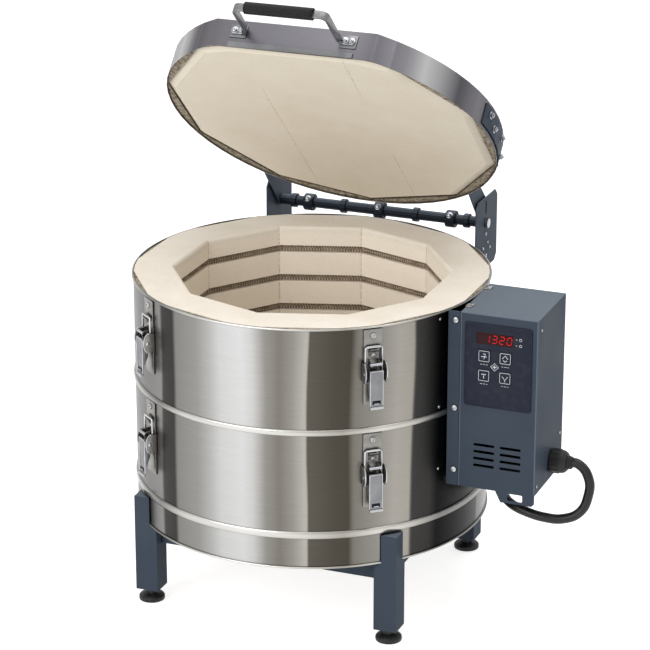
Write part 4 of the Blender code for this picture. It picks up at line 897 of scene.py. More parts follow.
def joined(*parts: bpy.types.Object) -> bpy.types.Object:
    """Join meshes into the first of them."""
    clear_selection()
    for part in parts:
        part.select_set(True)
    bpy.context.view_layer.objects.active = parts[0]
    bpy.ops.object.join()
    return bpy.context.object


def moved(piece: bpy.types.Object, place: Matrix) -> bpy.types.Object:
    """Put a piece at a place, in its mesh, and give it back."""
    piece.data.transform(place)
    return piece


def copied(piece: bpy.types.Object, places: Iterable[Matrix]) -> list[bpy.types.Object]:
    """Copy a finished piece to each place, each copy with its own mesh.

    Args:
        piece: The piece, which is removed afterwards.
        places: From the piece's coordinates to those of each copy.

    Returns:
        The copies in the order of their places.
    """
    copies = []
    for place in places:
        copy = piece.copy()
        copy.data = piece.data.copy()
        bpy.context.collection.objects.link(copy)
        copies.append(moved(copy, place))
    mesh = piece.data
    bpy.data.objects.remove(piece)
    bpy.data.meshes.remove(mesh)
    return copies


def rounded(left: float, low: float, right: float, high: float, corner: float,
            steps: int = 4) -> list[Flat]:
    """Give the outline of a rectangle with round corners."""
    outline = []
    for x, y, start in ((right - corner, low + corner, -90), (right - corner, high - corner, 0),
                        (left + corner, high - corner, 90), (left + corner, low + corner, 180)):
        for step in range(steps + 1):
            across, up = polar(corner, start + 90 * step / steps)
            outline.append((x + across, y + up))
    return outline


def bent(points: Sequence[Sequence[float]], radius: float, steps: int = 6) -> list[Vector]:
    """Round the corners of a path.

    Args:
        points: The path's corners.
        radius: Radius of each bend.
        steps: Steps of each bend.

    Returns:
        The points of the rounded path.
    """
    corners = [Vector(point) for point in points]
    path = [corners[0]]
    for before, corner, after in zip(corners, corners[1:], corners[2:]):
        back, ahead = (before - corner).normalized(), (after - corner).normalized()
        half = back.angle(ahead) / 2
        reach = radius / math.tan(half)
        centre = corner + (back + ahead).normalized() * (radius / math.sin(half))
        first, last = corner + back * reach - centre, corner + ahead * reach - centre
        for step in range(steps + 1):
            path.append(centre + first.slerp(last, step / steps).normalized() * radius)
    path.append(corners[-1])
    return path


@dataclass
class Placer:
    made: dict[str, bpy.types.Material] = field(default_factory=dict)
    count: int = 0

    def material(self, look: Look) -> bpy.types.Material:
        """Give a finish's material, made once and shared by all that wear it."""
        if look.name not in self.made:
            self.made[look.name] = look.material()
        return self.made[look.name]

    def wear(self, obj: bpy.types.Object, look: Look) -> None:
        """Give an object one finish all over."""
        obj.data.materials.clear()
        obj.data.materials.append(self.material(look))

    def dress(self, frame: dict) -> None:
        """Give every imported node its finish.

        Args:
            frame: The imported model.
        """
        for name, obj in frame["nodes"].items():
            self.wear(obj, next(look for start, look in NODE_LOOKS if name.startswith(start)))

    def put(self, obj: bpy.types.Object, name: str, look: Look, body: str = Body.KILN.value,
            replaces: Iterable[str] = (), edge: Edge = Edge.CRISP) -> bpy.types.Object:
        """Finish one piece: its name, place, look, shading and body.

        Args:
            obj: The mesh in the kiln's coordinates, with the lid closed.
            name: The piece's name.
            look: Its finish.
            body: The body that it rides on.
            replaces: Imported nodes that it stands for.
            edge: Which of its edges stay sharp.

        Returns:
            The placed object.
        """
        obj.name = name
        obj.data.name = name
        move = Matrix.Translation(AXIS)
        if body == Body.LID.value:
            move = move @ OPENED
        obj.data.transform(move @ obj.matrix_world)
        obj.matrix_world = Matrix.Identity(4)
        self.wear(obj, look)
        make_active(obj)
        bpy.ops.object.shade_smooth_by_angle(angle=math.radians(edge.value))
        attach(obj, body)
        if replaces:
            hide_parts(*replaces)
        self.count += 1
        LOG.info("%s: %d faces on %s", name, len(obj.data.polygons), body)
        return obj


def screw(radius: float, height: float) -> bpy.types.Object:
    """Shape a pan-head screw on z = 0 with a cross recess."""
    head = turned([(radius, 0.0), (radius, height * 0.35), (radius * 0.85, height * 0.8),
                   (radius * 0.5, height), (POLE, height)], segments=16)
    reach, half = radius * 0.55, radius * 0.12
    for across, along in ((reach, half), (half, reach)):
        cutter = box((-across, -along, height * 0.7), (across, along, height * 1.02))
        make_active(head)
        modifier = head.modifiers.new("recess", "BOOLEAN")
        modifier.object = cutter
        modifier.operation = "DIFFERENCE"
        modifier.solver = "EXACT"
        bpy.ops.object.modifier_apply(modifier=modifier.name)
        bpy.data.objects.remove(cutter)
    return head


def bolt(radius: float, height: float, washer: float) -> bpy.types.Object:
    """Shape a chamfered hex head on its washer at z = 0, with a domed end.

    Args:
        radius: The bolt's nominal size.
        height: Height of the head alone.
        washer: Radius of the washer.

    Returns:
        The new mesh object.
    """
    base = height * 0.22
    top = base + height
    head = turned([(radius * 0.86, base), (radius * 0.86, base + height * 0.9),
                   (radius * 0.7, top), (POLE, top)], segments=6)
    under = turned([(washer, 0.0), (washer, base * 0.8), (washer * 0.94, base), (POLE, base)],
                   segments=20)
    dome = turned([(radius * 0.42, top - 0.001), (radius * 0.42, top + height * 0.35),
                   (radius * 0.25, top + height * 0.5), (POLE, top + height * 0.5)],
                  segments=10)
    return joined(head, under, dome)


def facing(place: Sequence[float], outward: Sequence[float]) -> Matrix:
    """Give the matrix that stands a piece on a surface point, its Z along the normal."""
    turn = Vector(outward).to_track_quat("Z", "Y").to_matrix().to_4x4()
    return Matrix.Translation(place) @ turn


# ---------------------------------------------------------------------------
# The kiln's own pieces
# ---------------------------------------------------------------------------

@dataclass
class HeatingElements:
    """Coiled wire that fills the three grooves of each brick ring."""

    apothem: float = 0.2925
    sides: int = 10
    levels: tuple[float, ...] = (0.052, 0.121, 0.190)
    ring_tops: tuple[tuple[str, float], ...] = (("lower", 0.4898), ("upper", 0.7184))
    sag: float = 0.0012
    coil_radius: float = 0.0056
    wire_radius: float = 0.0012
    pitch: float = 0.0062
    curl_steps: int = 8
    end_gap: float = 0.050

    def build(self, placer: Placer) -> None:
        """Wind one element and lay a copy of it in each of the six grooves.

        Args:
            placer: Where finished pieces go.
        """
        names, places = [], []
        for ring, top in self.ring_tops:
            for number, drop in enumerate(self.levels, start=1):
                names.append(f"{ring}_element_{number}")
                places.append(Matrix.Translation((0, 0, top - drop - self.sag)))
        coils = copied(wire(self.coil(), self.wire_radius, 4), places)
        for name, coil in zip(names, coils):
            placer.put(coil, f"{name}_coil", WIRE, replaces=[name])

    def coil(self) -> list[Point]:
        """Give the points of one element's helix along its groove, at height 0."""
        each = 360 / self.sides
        side = 2 * self.apothem * math.tan(math.pi / self.sides)
        length = self.sides * side - 2 * self.end_gap
        steps = round(length / self.pitch) * self.curl_steps
        points = []
        for step in range(steps + 1):
            distance = self.end_gap + length * step / steps
            count = math.floor(distance / side + 0.5)
            along = distance - count * side
            swing, rise = polar(self.coil_radius, 360 / self.curl_steps * step)
            out = polar(self.apothem + swing, each * count)
            ahead = polar(along, each * count + 90)
            points.append((out[0] + ahead[0], out[1] + ahead[1], rise))
        return points


@dataclass
class Insulation:
    """Fibre blanket packed between the round steel and the flat sides of the brick."""

    steel_radius: float = 0.3825
    body_rows: tuple[tuple[str, float, float], ...] = (
        ("rim_blanket", 0.6884, 0.7164), ("seam_blanket", 0.4700, 0.4890))
    corner_half: float = 12.0
    corner_offsets: tuple[int, ...] = (-11, 0, 11)
    play: float = 0.0002
    lid_radius: float = 0.3645
    lid_front: float = 0.3185
    lid_levels: Flat = (0.7239, 0.7499)
    lid_play: float = 0.0006

    def build(self, placer: Placer) -> None:
        """Pack the body's rim and seam and the lid's edge."""
        circle = [polar(self.steel_radius, 6 * step) for step in range(60)]
        flat = self.steel_radius * math.cos(math.radians(self.corner_half))
        brick = [polar(flat / math.cos(math.radians(off)) + self.play, 36 * side + off)
                 for side in range(10) for off in self.corner_offsets]
        for name, low, high in self.body_rows:
            placer.put(sheet([circle, brick], low, high), name, BLANKET)
        edge = round(math.degrees(math.asin(self.lid_front / self.lid_radius)))
        arc = [polar(self.lid_radius, turn) for turn in range(1 - edge, 180 + edge, 5)]
        half = math.sqrt(self.lid_radius ** 2 - self.lid_front ** 2)
        outer = [(half, -self.lid_front), *arc, (-half, -self.lid_front)]
        placer.put(sheet([outer, self.lid_brick()], *self.lid_levels), "lid_blanket", BLANKET,
                   Body.LID.value)

    def lid_brick(self) -> list[Flat]:
        """Give the plan of the lid's brick with its front corner cut."""
        corners = [polar(self.lid_radius - self.lid_play, 90 + 36 * side) for side in range(10)]
        tip, before, after = corners[5], corners[4], corners[6]
        cuts = []
        for beside in (before, after):
            share = (-self.lid_front - tip[1]) / (beside[1] - tip[1])
            cuts.append((tip[0] + share * (beside[0] - tip[0]), -self.lid_front))
        return corners[:5] + cuts + corners[6:]


@dataclass
class Jackets:
    """The three rolled sheets of the drum, as smooth as a real rolled one."""

    radius: float = 0.384
    inside: float = 0.383
    steps: int = 180
    rings: tuple[tuple[str, float, float], ...] = (
        ("floor_band", 0.1853, 0.2612), ("lower_jacket", 0.2615, 0.4898),
        ("upper_jacket", 0.4901, 0.7184))

    def build(self, placer: Placer) -> None:
        """Roll each sheet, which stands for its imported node."""
        for name, low, high in self.rings:
            profile = [(self.inside, low), (self.radius, low), (self.radius, high),
                       (self.inside, high)]
            roll = turned(profile, segments=self.steps, closed=True)
            placer.put(roll, f"{name}_sheet", JACKET, replaces=[name])


@dataclass
class Seams:
    """Rolled edges of the jackets: polished beads with painted reflections all round."""

    crest: float = 0.3876
    root: float = 0.3842
    lip: float = 0.0008
    steps: int = 120
    beads: tuple[tuple[str, float, float], ...] = (
        ("rim_hem", 0.7160, 0.0023), ("middle_bead", 0.4904, 0.0069),
        ("lower_bead", 0.2612, 0.0084), ("base_hem", 0.1876, 0.0024))

    def build(self, placer: Placer) -> None:
        """Roll the rim, the two seams and the lower edge, each a full half round."""
        for name, level, half in self.beads:
            profile = [(self.root - self.lip, level - half)]
            for step in range(7):
                out, up = polar(1, -90 + 30 * step)
                profile.append((self.root + (self.crest - self.root) * out ** 0.6,
                                level + half * up))
            profile.append((self.root - self.lip, level + half))
            ring = turned(profile, segments=self.steps, closed=True)
            # The bead's sheet carries painted reflections
            placer.put(ring, name, BEAD, edge=Edge.ROLLED)


@dataclass
class Latches:
    """Four draw latches, each a plate with cheeks and hook, a wire bail and a pressed lever.

    A latch is modelled in its own frame: X across it, Y out from the jacket and Z up, with the
    plate's top at 0.
    """

    rings: tuple[tuple[str, float], ...] = (("lower", 0.4833), ("upper", 0.7119))
    radius: float = 0.384
    from_front: float = 40.7
    half: float = 0.0205
    length: float = 0.164
    pivot_reach: float = 0.0165
    pivot_drop: float = 0.0905
    bail_reach: float = 0.0077
    bail_wire: float = 0.0023
    ear: tuple[Flat, ...] = (
        (0.0020, -0.0790), (0.0225, -0.0765), (0.0235, -0.0755), (0.0235, -0.0685),
        (0.0180, -0.0665), (0.0020, -0.0640))
    hook: tuple[Flat, ...] = (
        (0.0022, -0.0600), (0.0050, -0.0490), (0.0100, -0.0455), (0.0118, -0.0425),
        (0.0112, -0.0411), (0.0092, -0.0418), (0.0040, -0.0440), (0.0022, -0.0480))
    wall: tuple[Flat, ...] = (
        (0.0104, -0.0960), (0.0104, -0.1000), (0.0125, -0.1240), (0.0228, -0.1450),
        (0.0228, -0.0840), (0.0200, -0.0822), (0.0140, -0.0830))

    def build(self, placer: Placer) -> None:
        """Model one latch and stand a copy of it at each place on the jackets."""
        names, seats = [], []
        for ring, top in self.rings:
            for side, side_name in SIDES:
                degrees = -90 + side * self.from_front
                names.append(f"{ring}_{side_name}")
                seats.append(Matrix.Translation((*polar(self.radius, degrees), top))
                             @ Matrix.Rotation(math.radians(degrees - 90), 4, "Z"))
        shapes = (self.base(), self.fixings(), self.loop(), self.lever(), self.edges(),
                  self.slot_shade())
        sets = zip(*(copied(shape, seats) for shape in shapes))
        for name, (base, fixings, loop, lever, edges, shade) in zip(names, sets):
            bail_body, lever_body = f"bail_{name}", f"lever_{name}"
            placer.put(base, f"latch_base_{name}", SATIN_PLATE,
                       replaces=[f"latch_plate_{name}"], edge=Edge.PRESSED)
            # The cheek rims' bright plate is a painted highlight
            placer.put(fixings, f"latch_fixings_{name}", PLATE, edge=Edge.PRESSED)
            placer.put(loop, f"latch_loop_{name}", PLATE, bail_body, [f"latch_bail_{name}"],
                       Edge.ROUND)
            placer.put(lever, f"latch_handle_{name}", LEVER_PLATE, lever_body,
                       [f"latch_lever_{name}"], Edge.PRESSED)
            # The edges' bright plate is a painted highlight
            placer.put(edges, f"latch_edges_{name}", PLATE, lever_body, edge=Edge.PRESSED)
            # The finger slot's dark plate is a painted shadow
            placer.put(shade, f"latch_slot_shadow_{name}", DARK_PAINT, lever_body,
                       edge=Edge.PRESSED)

    def base(self) -> bpy.types.Object:
        """Shape the plate with its cheeks, ears and hook."""
        parts = [sheet([rounded(-self.half, -self.length, self.half, 0.0, 0.003)],
                       -0.0025, -0.0003, Axis.Y, 0.0006)]
        for side, low in ((-1, -0.0112), (1, 0.0094)):
            parts.append(self.cheek(side))
            parts.append(sheet([self.ear], low, low + 0.0018, Axis.X))
        parts.append(sheet([self.hook], -0.0100, 0.0100, Axis.X))
        return joined(*parts)

    def cheek_outline(self) -> list[Flat]:
        """Give the oval of a cheek as reach and rise."""
        outline = [(0.0003, -0.0210), (0.0003, 0.0210)]
        for step in range(11):
            across, up = polar(1, 90 - 18 * step)
            outline.append((0.0135 + 0.0115 * across, 0.0210 * up))
        return [(reach, rise - self.pivot_drop) for reach, rise in outline]

    def cheek(self, side: int) -> bpy.types.Object:
        """Shape a dished oval cheek with its foot."""
        low = 0.0214 if side > 0 else -0.0240
        dish = sheet([self.cheek_outline()], low, low + 0.0026, Axis.X, 0.0006)
        root = sorted((side * 0.0190, side * 0.0220))
        foot = box((root[0], 0.0003, -self.pivot_drop - 0.018),
                   (root[1], 0.0026, -self.pivot_drop + 0.018), 0.0004)
        return joined(dish, foot)

    def fixings(self) -> bpy.types.Object:
        """Shape the base's saddle bar, screws, pin ends and its cheek rims, a painted highlight.
        """
        parts = [wire([(-0.0135, 0.0212, -0.0708), (0.0135, 0.0212, -0.0708)], 0.0031, 12)]
        for radius, height, drop in ((0.0062, 0.0034, -0.0135), (0.0046, 0.0024, -0.0560)):
            parts.append(moved(screw(radius, height), facing((0, 0.0025, drop), (0, 1, 0))))
        pin = turned([(0.0045, 0.0), (0.0045, 0.0008), (0.0030, 0.0018), (POLE, 0.0020)],
                     segments=14)
        parts += copied(pin, [facing((side * 0.0240, self.pivot_reach, -self.pivot_drop),
                                     (side, 0, 0)) for side, _ in SIDES])
        for side, _ in SIDES:
            rim = [(side * 0.0230, reach, rise) for reach, rise in self.cheek_outline()[2:]]
            parts.append(wire(rim, 0.0016, 8))
        return joined(*parts)

    def loop(self) -> bpy.types.Object:
        """Bend the bail's closed wire, with its flattened upper bar."""
        path = [(across, self.bail_reach, up) for across, up in
                rounded(-0.0185, -0.1135, 0.0185, -0.0370, 0.0045, 4)]
        bar = box((-0.0150, self.bail_reach - 0.0012, -0.0388),
                  (0.0150, self.bail_reach + 0.0026, -0.0338), 0.0011)
        return joined(wire(path, self.bail_wire, 10, closed=True), bar)

    def lever(self) -> bpy.types.Object:
        """Press the lever's face and side walls."""
        parts = [sheet([rounded(-0.0150, -0.1628, 0.0150, -0.0828, 0.0028)],
                       -0.0245, -0.0222, Axis.Y, 0.0009)]
        for low in (-0.0149, 0.0131):
            parts.append(sheet([self.wall], low, low + 0.0018, Axis.X, 0.0003))
        return joined(*parts)

    def edges(self) -> bpy.types.Object:
        """Shape the lever's rolled edges, lip, tongue and pin, brightened as a painted highlight.
        """
        bars = [((side * 0.0138, 0.0243, -0.0845), (side * 0.0138, 0.0243, -0.1600), 0.0012, 8)
                for side, _ in SIDES]
        bars += [((-across, reach, rise), (across, reach, rise), radius, sides)
                 for across, reach, rise, radius, sides in (
                     (0.0138, 0.0243, -0.0845, 0.0016, 8), (0.0146, 0.0262, -0.1650, 0.0026, 10),
                     (0.0055, 0.0250, -0.1552, 0.0014, 8),
                     (0.0135, self.pivot_reach, -self.pivot_drop, 0.0024, 10))]
        parts = [wire([first, last], radius, sides) for first, last, radius, sides in bars]
        tongue = box((-0.0140, 0.0226, -0.1658), (0.0140, 0.0262, -0.1612), 0.0010)
        return joined(*parts, tongue)

    def slot_shade(self) -> bpy.types.Object:
        """Lay the shade of the finger slot near the lever's end, as a thin dark plate."""
        return sheet([rounded(-0.0092, -0.1572, 0.0092, -0.1486, 0.0018)], -0.0249, -0.0238,
                     Axis.Y)


@dataclass
class LidFurniture:
    """What is bolted to the lid's band: handle, grip and the heads on the hinge arms."""

    face: float = 0.3203
    middle: float = 0.7577
    span: float = 0.1025
    foot: float = 0.034
    standoff: float = 0.105
    bend: float = 0.014
    strap_half: float = 0.0090
    strap_thick_half: float = 0.0024
    foot_bolts: tuple[float, ...] = (0.0125, 0.0270)
    grip_half: float = 0.0750
    grip_ribs: int = 30
    arm_radius: float = 0.3693
    arm_bolts: tuple[Flat, ...] = (
        (-8, 0.7599), (-3, 0.7439), (8, 0.7599), (17, 0.7439), (30, 0.7599), (40, 0.7459))

    def build(self, placer: Placer) -> None:
        """Fit the handle, its grip and the bolts."""
        grip_y = -self.face - self.standoff
        parts, places = [self.strap(grip_y)], []
        for side, _ in SIDES:
            ends = sorted((side * (self.span + 0.001), side * (self.span + self.foot + 0.004)))
            parts.append(box((ends[0], -self.face - 0.0022, self.middle - 0.0150),
                             (ends[1], -self.face - 0.0001, self.middle + 0.0150), 0.0008))
            places += [facing((side * (self.span + across), -self.face - 0.0050, self.middle),
                              (0, -1, 0)) for across in self.foot_bolts]
        placer.put(joined(*parts), "handle_strap", LEVER_PLATE, Body.LID.value, ["lid_handle"],
                   Edge.PRESSED)
        placer.put(joined(*copied(bolt(0.0066, 0.0046, 0.0080), places)), "handle_bolts", PLATE,
                   Body.LID.value, edge=Edge.PRESSED)
        placer.put(self.ribbed(grip_y), "handle_sleeve", GRIP_RUBBER, Body.LID.value,
                   ["handle_grip"], Edge.ROUND)
        self.arm_heads(placer)

    def strap(self, grip_y: float) -> bpy.types.Object:
        """Bend the flat strap out from its two feet to the grip."""
        foot_y, end = -self.face - 0.0026, self.span + self.foot
        path = bent([(-end, foot_y, 0), (-self.span, foot_y, 0), (-self.span, grip_y, 0),
                     (self.span, grip_y, 0), (self.span, foot_y, 0), (end, foot_y, 0)],
                    self.bend, 7)
        left, right = [], []
        for index, point in enumerate(path):
            ahead = path[min(index + 1, len(path) - 1)] - path[max(index - 1, 0)]
            normal = Vector((-ahead.y, ahead.x, 0)).normalized() * self.strap_thick_half
            left.append((point + normal).xy[:])
            right.append((point - normal).xy[:])
        return sheet([left + right[::-1]], self.middle - self.strap_half,
                     self.middle + self.strap_half, Axis.Z, 0.0008)

    def ribbed(self, grip_y: float) -> bpy.types.Object:
        """Turn the grip with its close ribs and rounded ends."""
        end = [(0.0098, self.grip_half), (0.0122, self.grip_half),
               (0.0132, self.grip_half - 0.0015)]
        profile = [(radius, -along) for radius, along in end]
        for count in range(self.grip_ribs):
            start = -0.0715 + count * 0.143 / self.grip_ribs
            profile += [(0.0117, start), (0.0129, start + 0.0011), (0.0129, start + 0.0031),
                        (0.0117, start + 0.0042)]
        profile += end[::-1]
        return turned(profile, Axis.X, (0.0, grip_y, self.middle), 28, closed=True)

    def arm_heads(self, placer: Placer) -> None:
        """Bolt the arms' straps to the band."""
        for side, side_name in SIDES:
            places = []
            for turn, level in self.arm_bolts:
                across, along = polar(self.arm_radius, turn)
                places.append(facing((side * across, along, level), (side * across, along, 0)))
            heads = copied(bolt(0.0068, 0.0050, 0.0082), places)
            placer.put(joined(*heads), f"arm_bolts_{side_name}", PLATE, Body.LID.value,
                       edge=Edge.PRESSED)


@dataclass
class HingeHardware:
    """Screws, collars and bolts about the hinge."""

    plate_outside: float = 0.2538
    plate_screws: tuple[tuple[float, tuple[Flat, ...]], ...] = (
        (0.0040, ((0.0, -0.026), (0.004, -0.078))),
        (0.0034, ((0.014, -0.050), (-0.018, -0.056), (0.030, -0.066))))
    collars: tuple[float, ...] = (-0.172, 0.0, 0.172)

    def build(self, placer: Placer) -> None:
        """Fit the heads on the side plates and the collars on the tube."""
        for side, side_name in SIDES:
            heads = []
            for radius, spots in self.plate_screws:
                heads += copied(screw(radius, 0.0020), [
                    facing((side * self.plate_outside, HINGE.y + along, HINGE.z + up),
                           (side, 0, 0)) for along, up in spots])
            placer.put(joined(*heads), f"plate_screws_{side_name}", PLATE, edge=Edge.PRESSED)
        collar = turned([(0.0124, -0.011), (0.0190, -0.011), (0.0196, -0.009), (0.0196, 0.009),
                         (0.0190, 0.011), (0.0124, 0.011)], Axis.X, tuple(HINGE), 24,
                        closed=True)
        collars = copied(collar, [Matrix.Translation((across, 0, 0)) for across in self.collars])
        heads = copied(bolt(0.0062, 0.0050, 0.0075), [
            facing((across, HINGE.y - 0.0150, HINGE.z + 0.0125), (0, -0.7, 0.7))
            for across in self.collars])
        placer.put(joined(*collars), "tube_collars", DARK_PAINT, edge=Edge.PRESSED)
        placer.put(joined(*heads), "collar_bolts", PLATE, edge=Edge.PRESSED)


# Middles of the four keys on the panel, and half the side of the hole round each
KEY_PLACES = ((0.441, 0.627), (0.487, 0.627), (0.441, 0.584), (0.487, 0.584))
KEY_NAMES = ("upper_left", "upper_right", "lower_left", "lower_right")
KEY_HOLE = 0.0133


def key_holes() -> list[list[Flat]]:
    """Give the outlines of the holes that the four keys stand in."""
    return [rounded(x - KEY_HOLE, z - KEY_HOLE, x + KEY_HOLE, z + KEY_HOLE, 0.0005)
            for x, z in KEY_PLACES]


@dataclass
class ControlFront:
    """The case's front: its fixing flange, panel, vents, hanging tab and screws."""

    flange: float = 0.3611
    left: float = 0.3882
    right: float = 0.5560
    top: float = 0.7170
    bottom: float = 0.3280
    front: float = -0.1415
    back: float = -0.1400
    vent_columns: Flat = (0.4205, 0.4785)
    vent_rows: int = 4
    vent_top: float = 0.4300
    vent_pitch: float = 0.0155
    vent_length: float = 0.046
    vent_height: float = 0.0065
    flange_heights: tuple[float, ...] = (0.698, 0.503, 0.364)
    flange_screws: float = 0.3775
    side_screws: tuple[Flat, ...] = ((-0.118, 0.690), (0.030, 0.408), (-0.126, 0.345))

    def build(self, placer: Placer) -> None:
        """Fold the panel with its openings and fit its edges, screws and brackets."""
        placer.put(self.panel(), "case_front", PAINT, replaces=["control_panel"],
                   edge=Edge.PRESSED)
        # The edges' paler coat is a painted highlight
        placer.put(self.edges(), "case_edges", EDGE_HIGHLIGHT_PAINT, edge=Edge.PRESSED)
        placer.put(self.screws(), "case_screws", PLATE, edge=Edge.PRESSED)
        brackets = [box((0.3870, along - 0.010, 0.7172), (0.4010, along + 0.010, 0.7188), 0.0004)
                    for along in (-0.100, 0.020)]
        placer.put(joined(*brackets), "case_brackets", PLATE, edge=Edge.PRESSED)

    def panel(self) -> bpy.types.Object:
        """Cut the panel with its tab and openings, and the flange beside it."""
        outline = [(self.left, self.bottom), (self.right - 0.086, self.bottom),
                   (self.right - 0.074, self.bottom - 0.024),
                   (self.right - 0.006, self.bottom - 0.024),
                   (self.right, self.bottom - 0.018), (self.right, self.top),
                   (self.left, self.top)]
        holes = key_holes()
        for column in self.vent_columns:
            for row in range(self.vent_rows):
                high = self.vent_top - self.vent_pitch * row
                holes.append(rounded(column, high - self.vent_height,
                                     column + self.vent_length, high, 0.0031))
        holes.append(rounded(0.497, 0.310, 0.530, 0.326, 0.003))
        fold = self.left - 0.0012
        flange = [(self.flange, self.bottom), (fold, self.bottom), (fold, self.top),
                  (self.flange, self.top)]
        return joined(sheet([outline, *holes], -self.back, -self.front, Axis.Y),
                      sheet([flange], -self.back, -self.front - 0.0003, Axis.Y))

    def edges(self) -> bpy.types.Object:
        """Round the folded edges, whose paler coat is a painted highlight."""
        proud = self.front - 0.0004
        return joined(*(box(low, high, 0.0007) for low, high in (
            ((self.left - 0.0002, proud, self.bottom), (self.left + 0.0022, self.back, self.top)),
            ((self.right - 0.0026, proud, self.bottom),
             (self.right + 0.0004, self.back, self.top)),
            ((self.left, proud, self.top - 0.0022), (self.right, self.back, self.top + 0.0004)))))

    def screws(self) -> bpy.types.Object:
        """Fit the screws of the flange, of the jacket beside it and of the case's side."""
        across, along = polar(0.3842, -24.6)
        rows = (
            (screw(0.0068, 0.0036), [facing((self.flange_screws, self.front, height), (0, -1, 0))
                                     for height in self.flange_heights]),
            (screw(0.0034, 0.0020), [facing((across, along, height + 0.004), (across, along, 0))
                                     for height in self.flange_heights]),
            (screw(0.0030, 0.0018), [facing((self.right, depth, height), (1, 0, 0))
                                     for depth, height in self.side_screws]))
        return joined(*(head for kind, places in rows for head in copied(kind, places)))


class Glyph(Enum):
    """The plain marks on the keys, each as strokes about the key's middle."""

    LINES = (((-0.006, -0.001), (0.006, -0.001)),
             ((-0.002, 0.005), (0.003, 0.005), (0.0, -0.006)))
    UP = (((-0.006, 0.0), (0.0, 0.007), (0.006, 0.0)),
          ((-0.004, -0.003), (0.0, -0.007), (0.004, -0.003)))
    TEE = (((-0.005, 0.003), (0.005, 0.003)), ((0.0, 0.001), (0.0, -0.006)))
    FORK = (((-0.006, 0.004), (0.0, -0.004), (0.006, 0.004)), ((0.0, -0.003), (0.0, -0.008)))


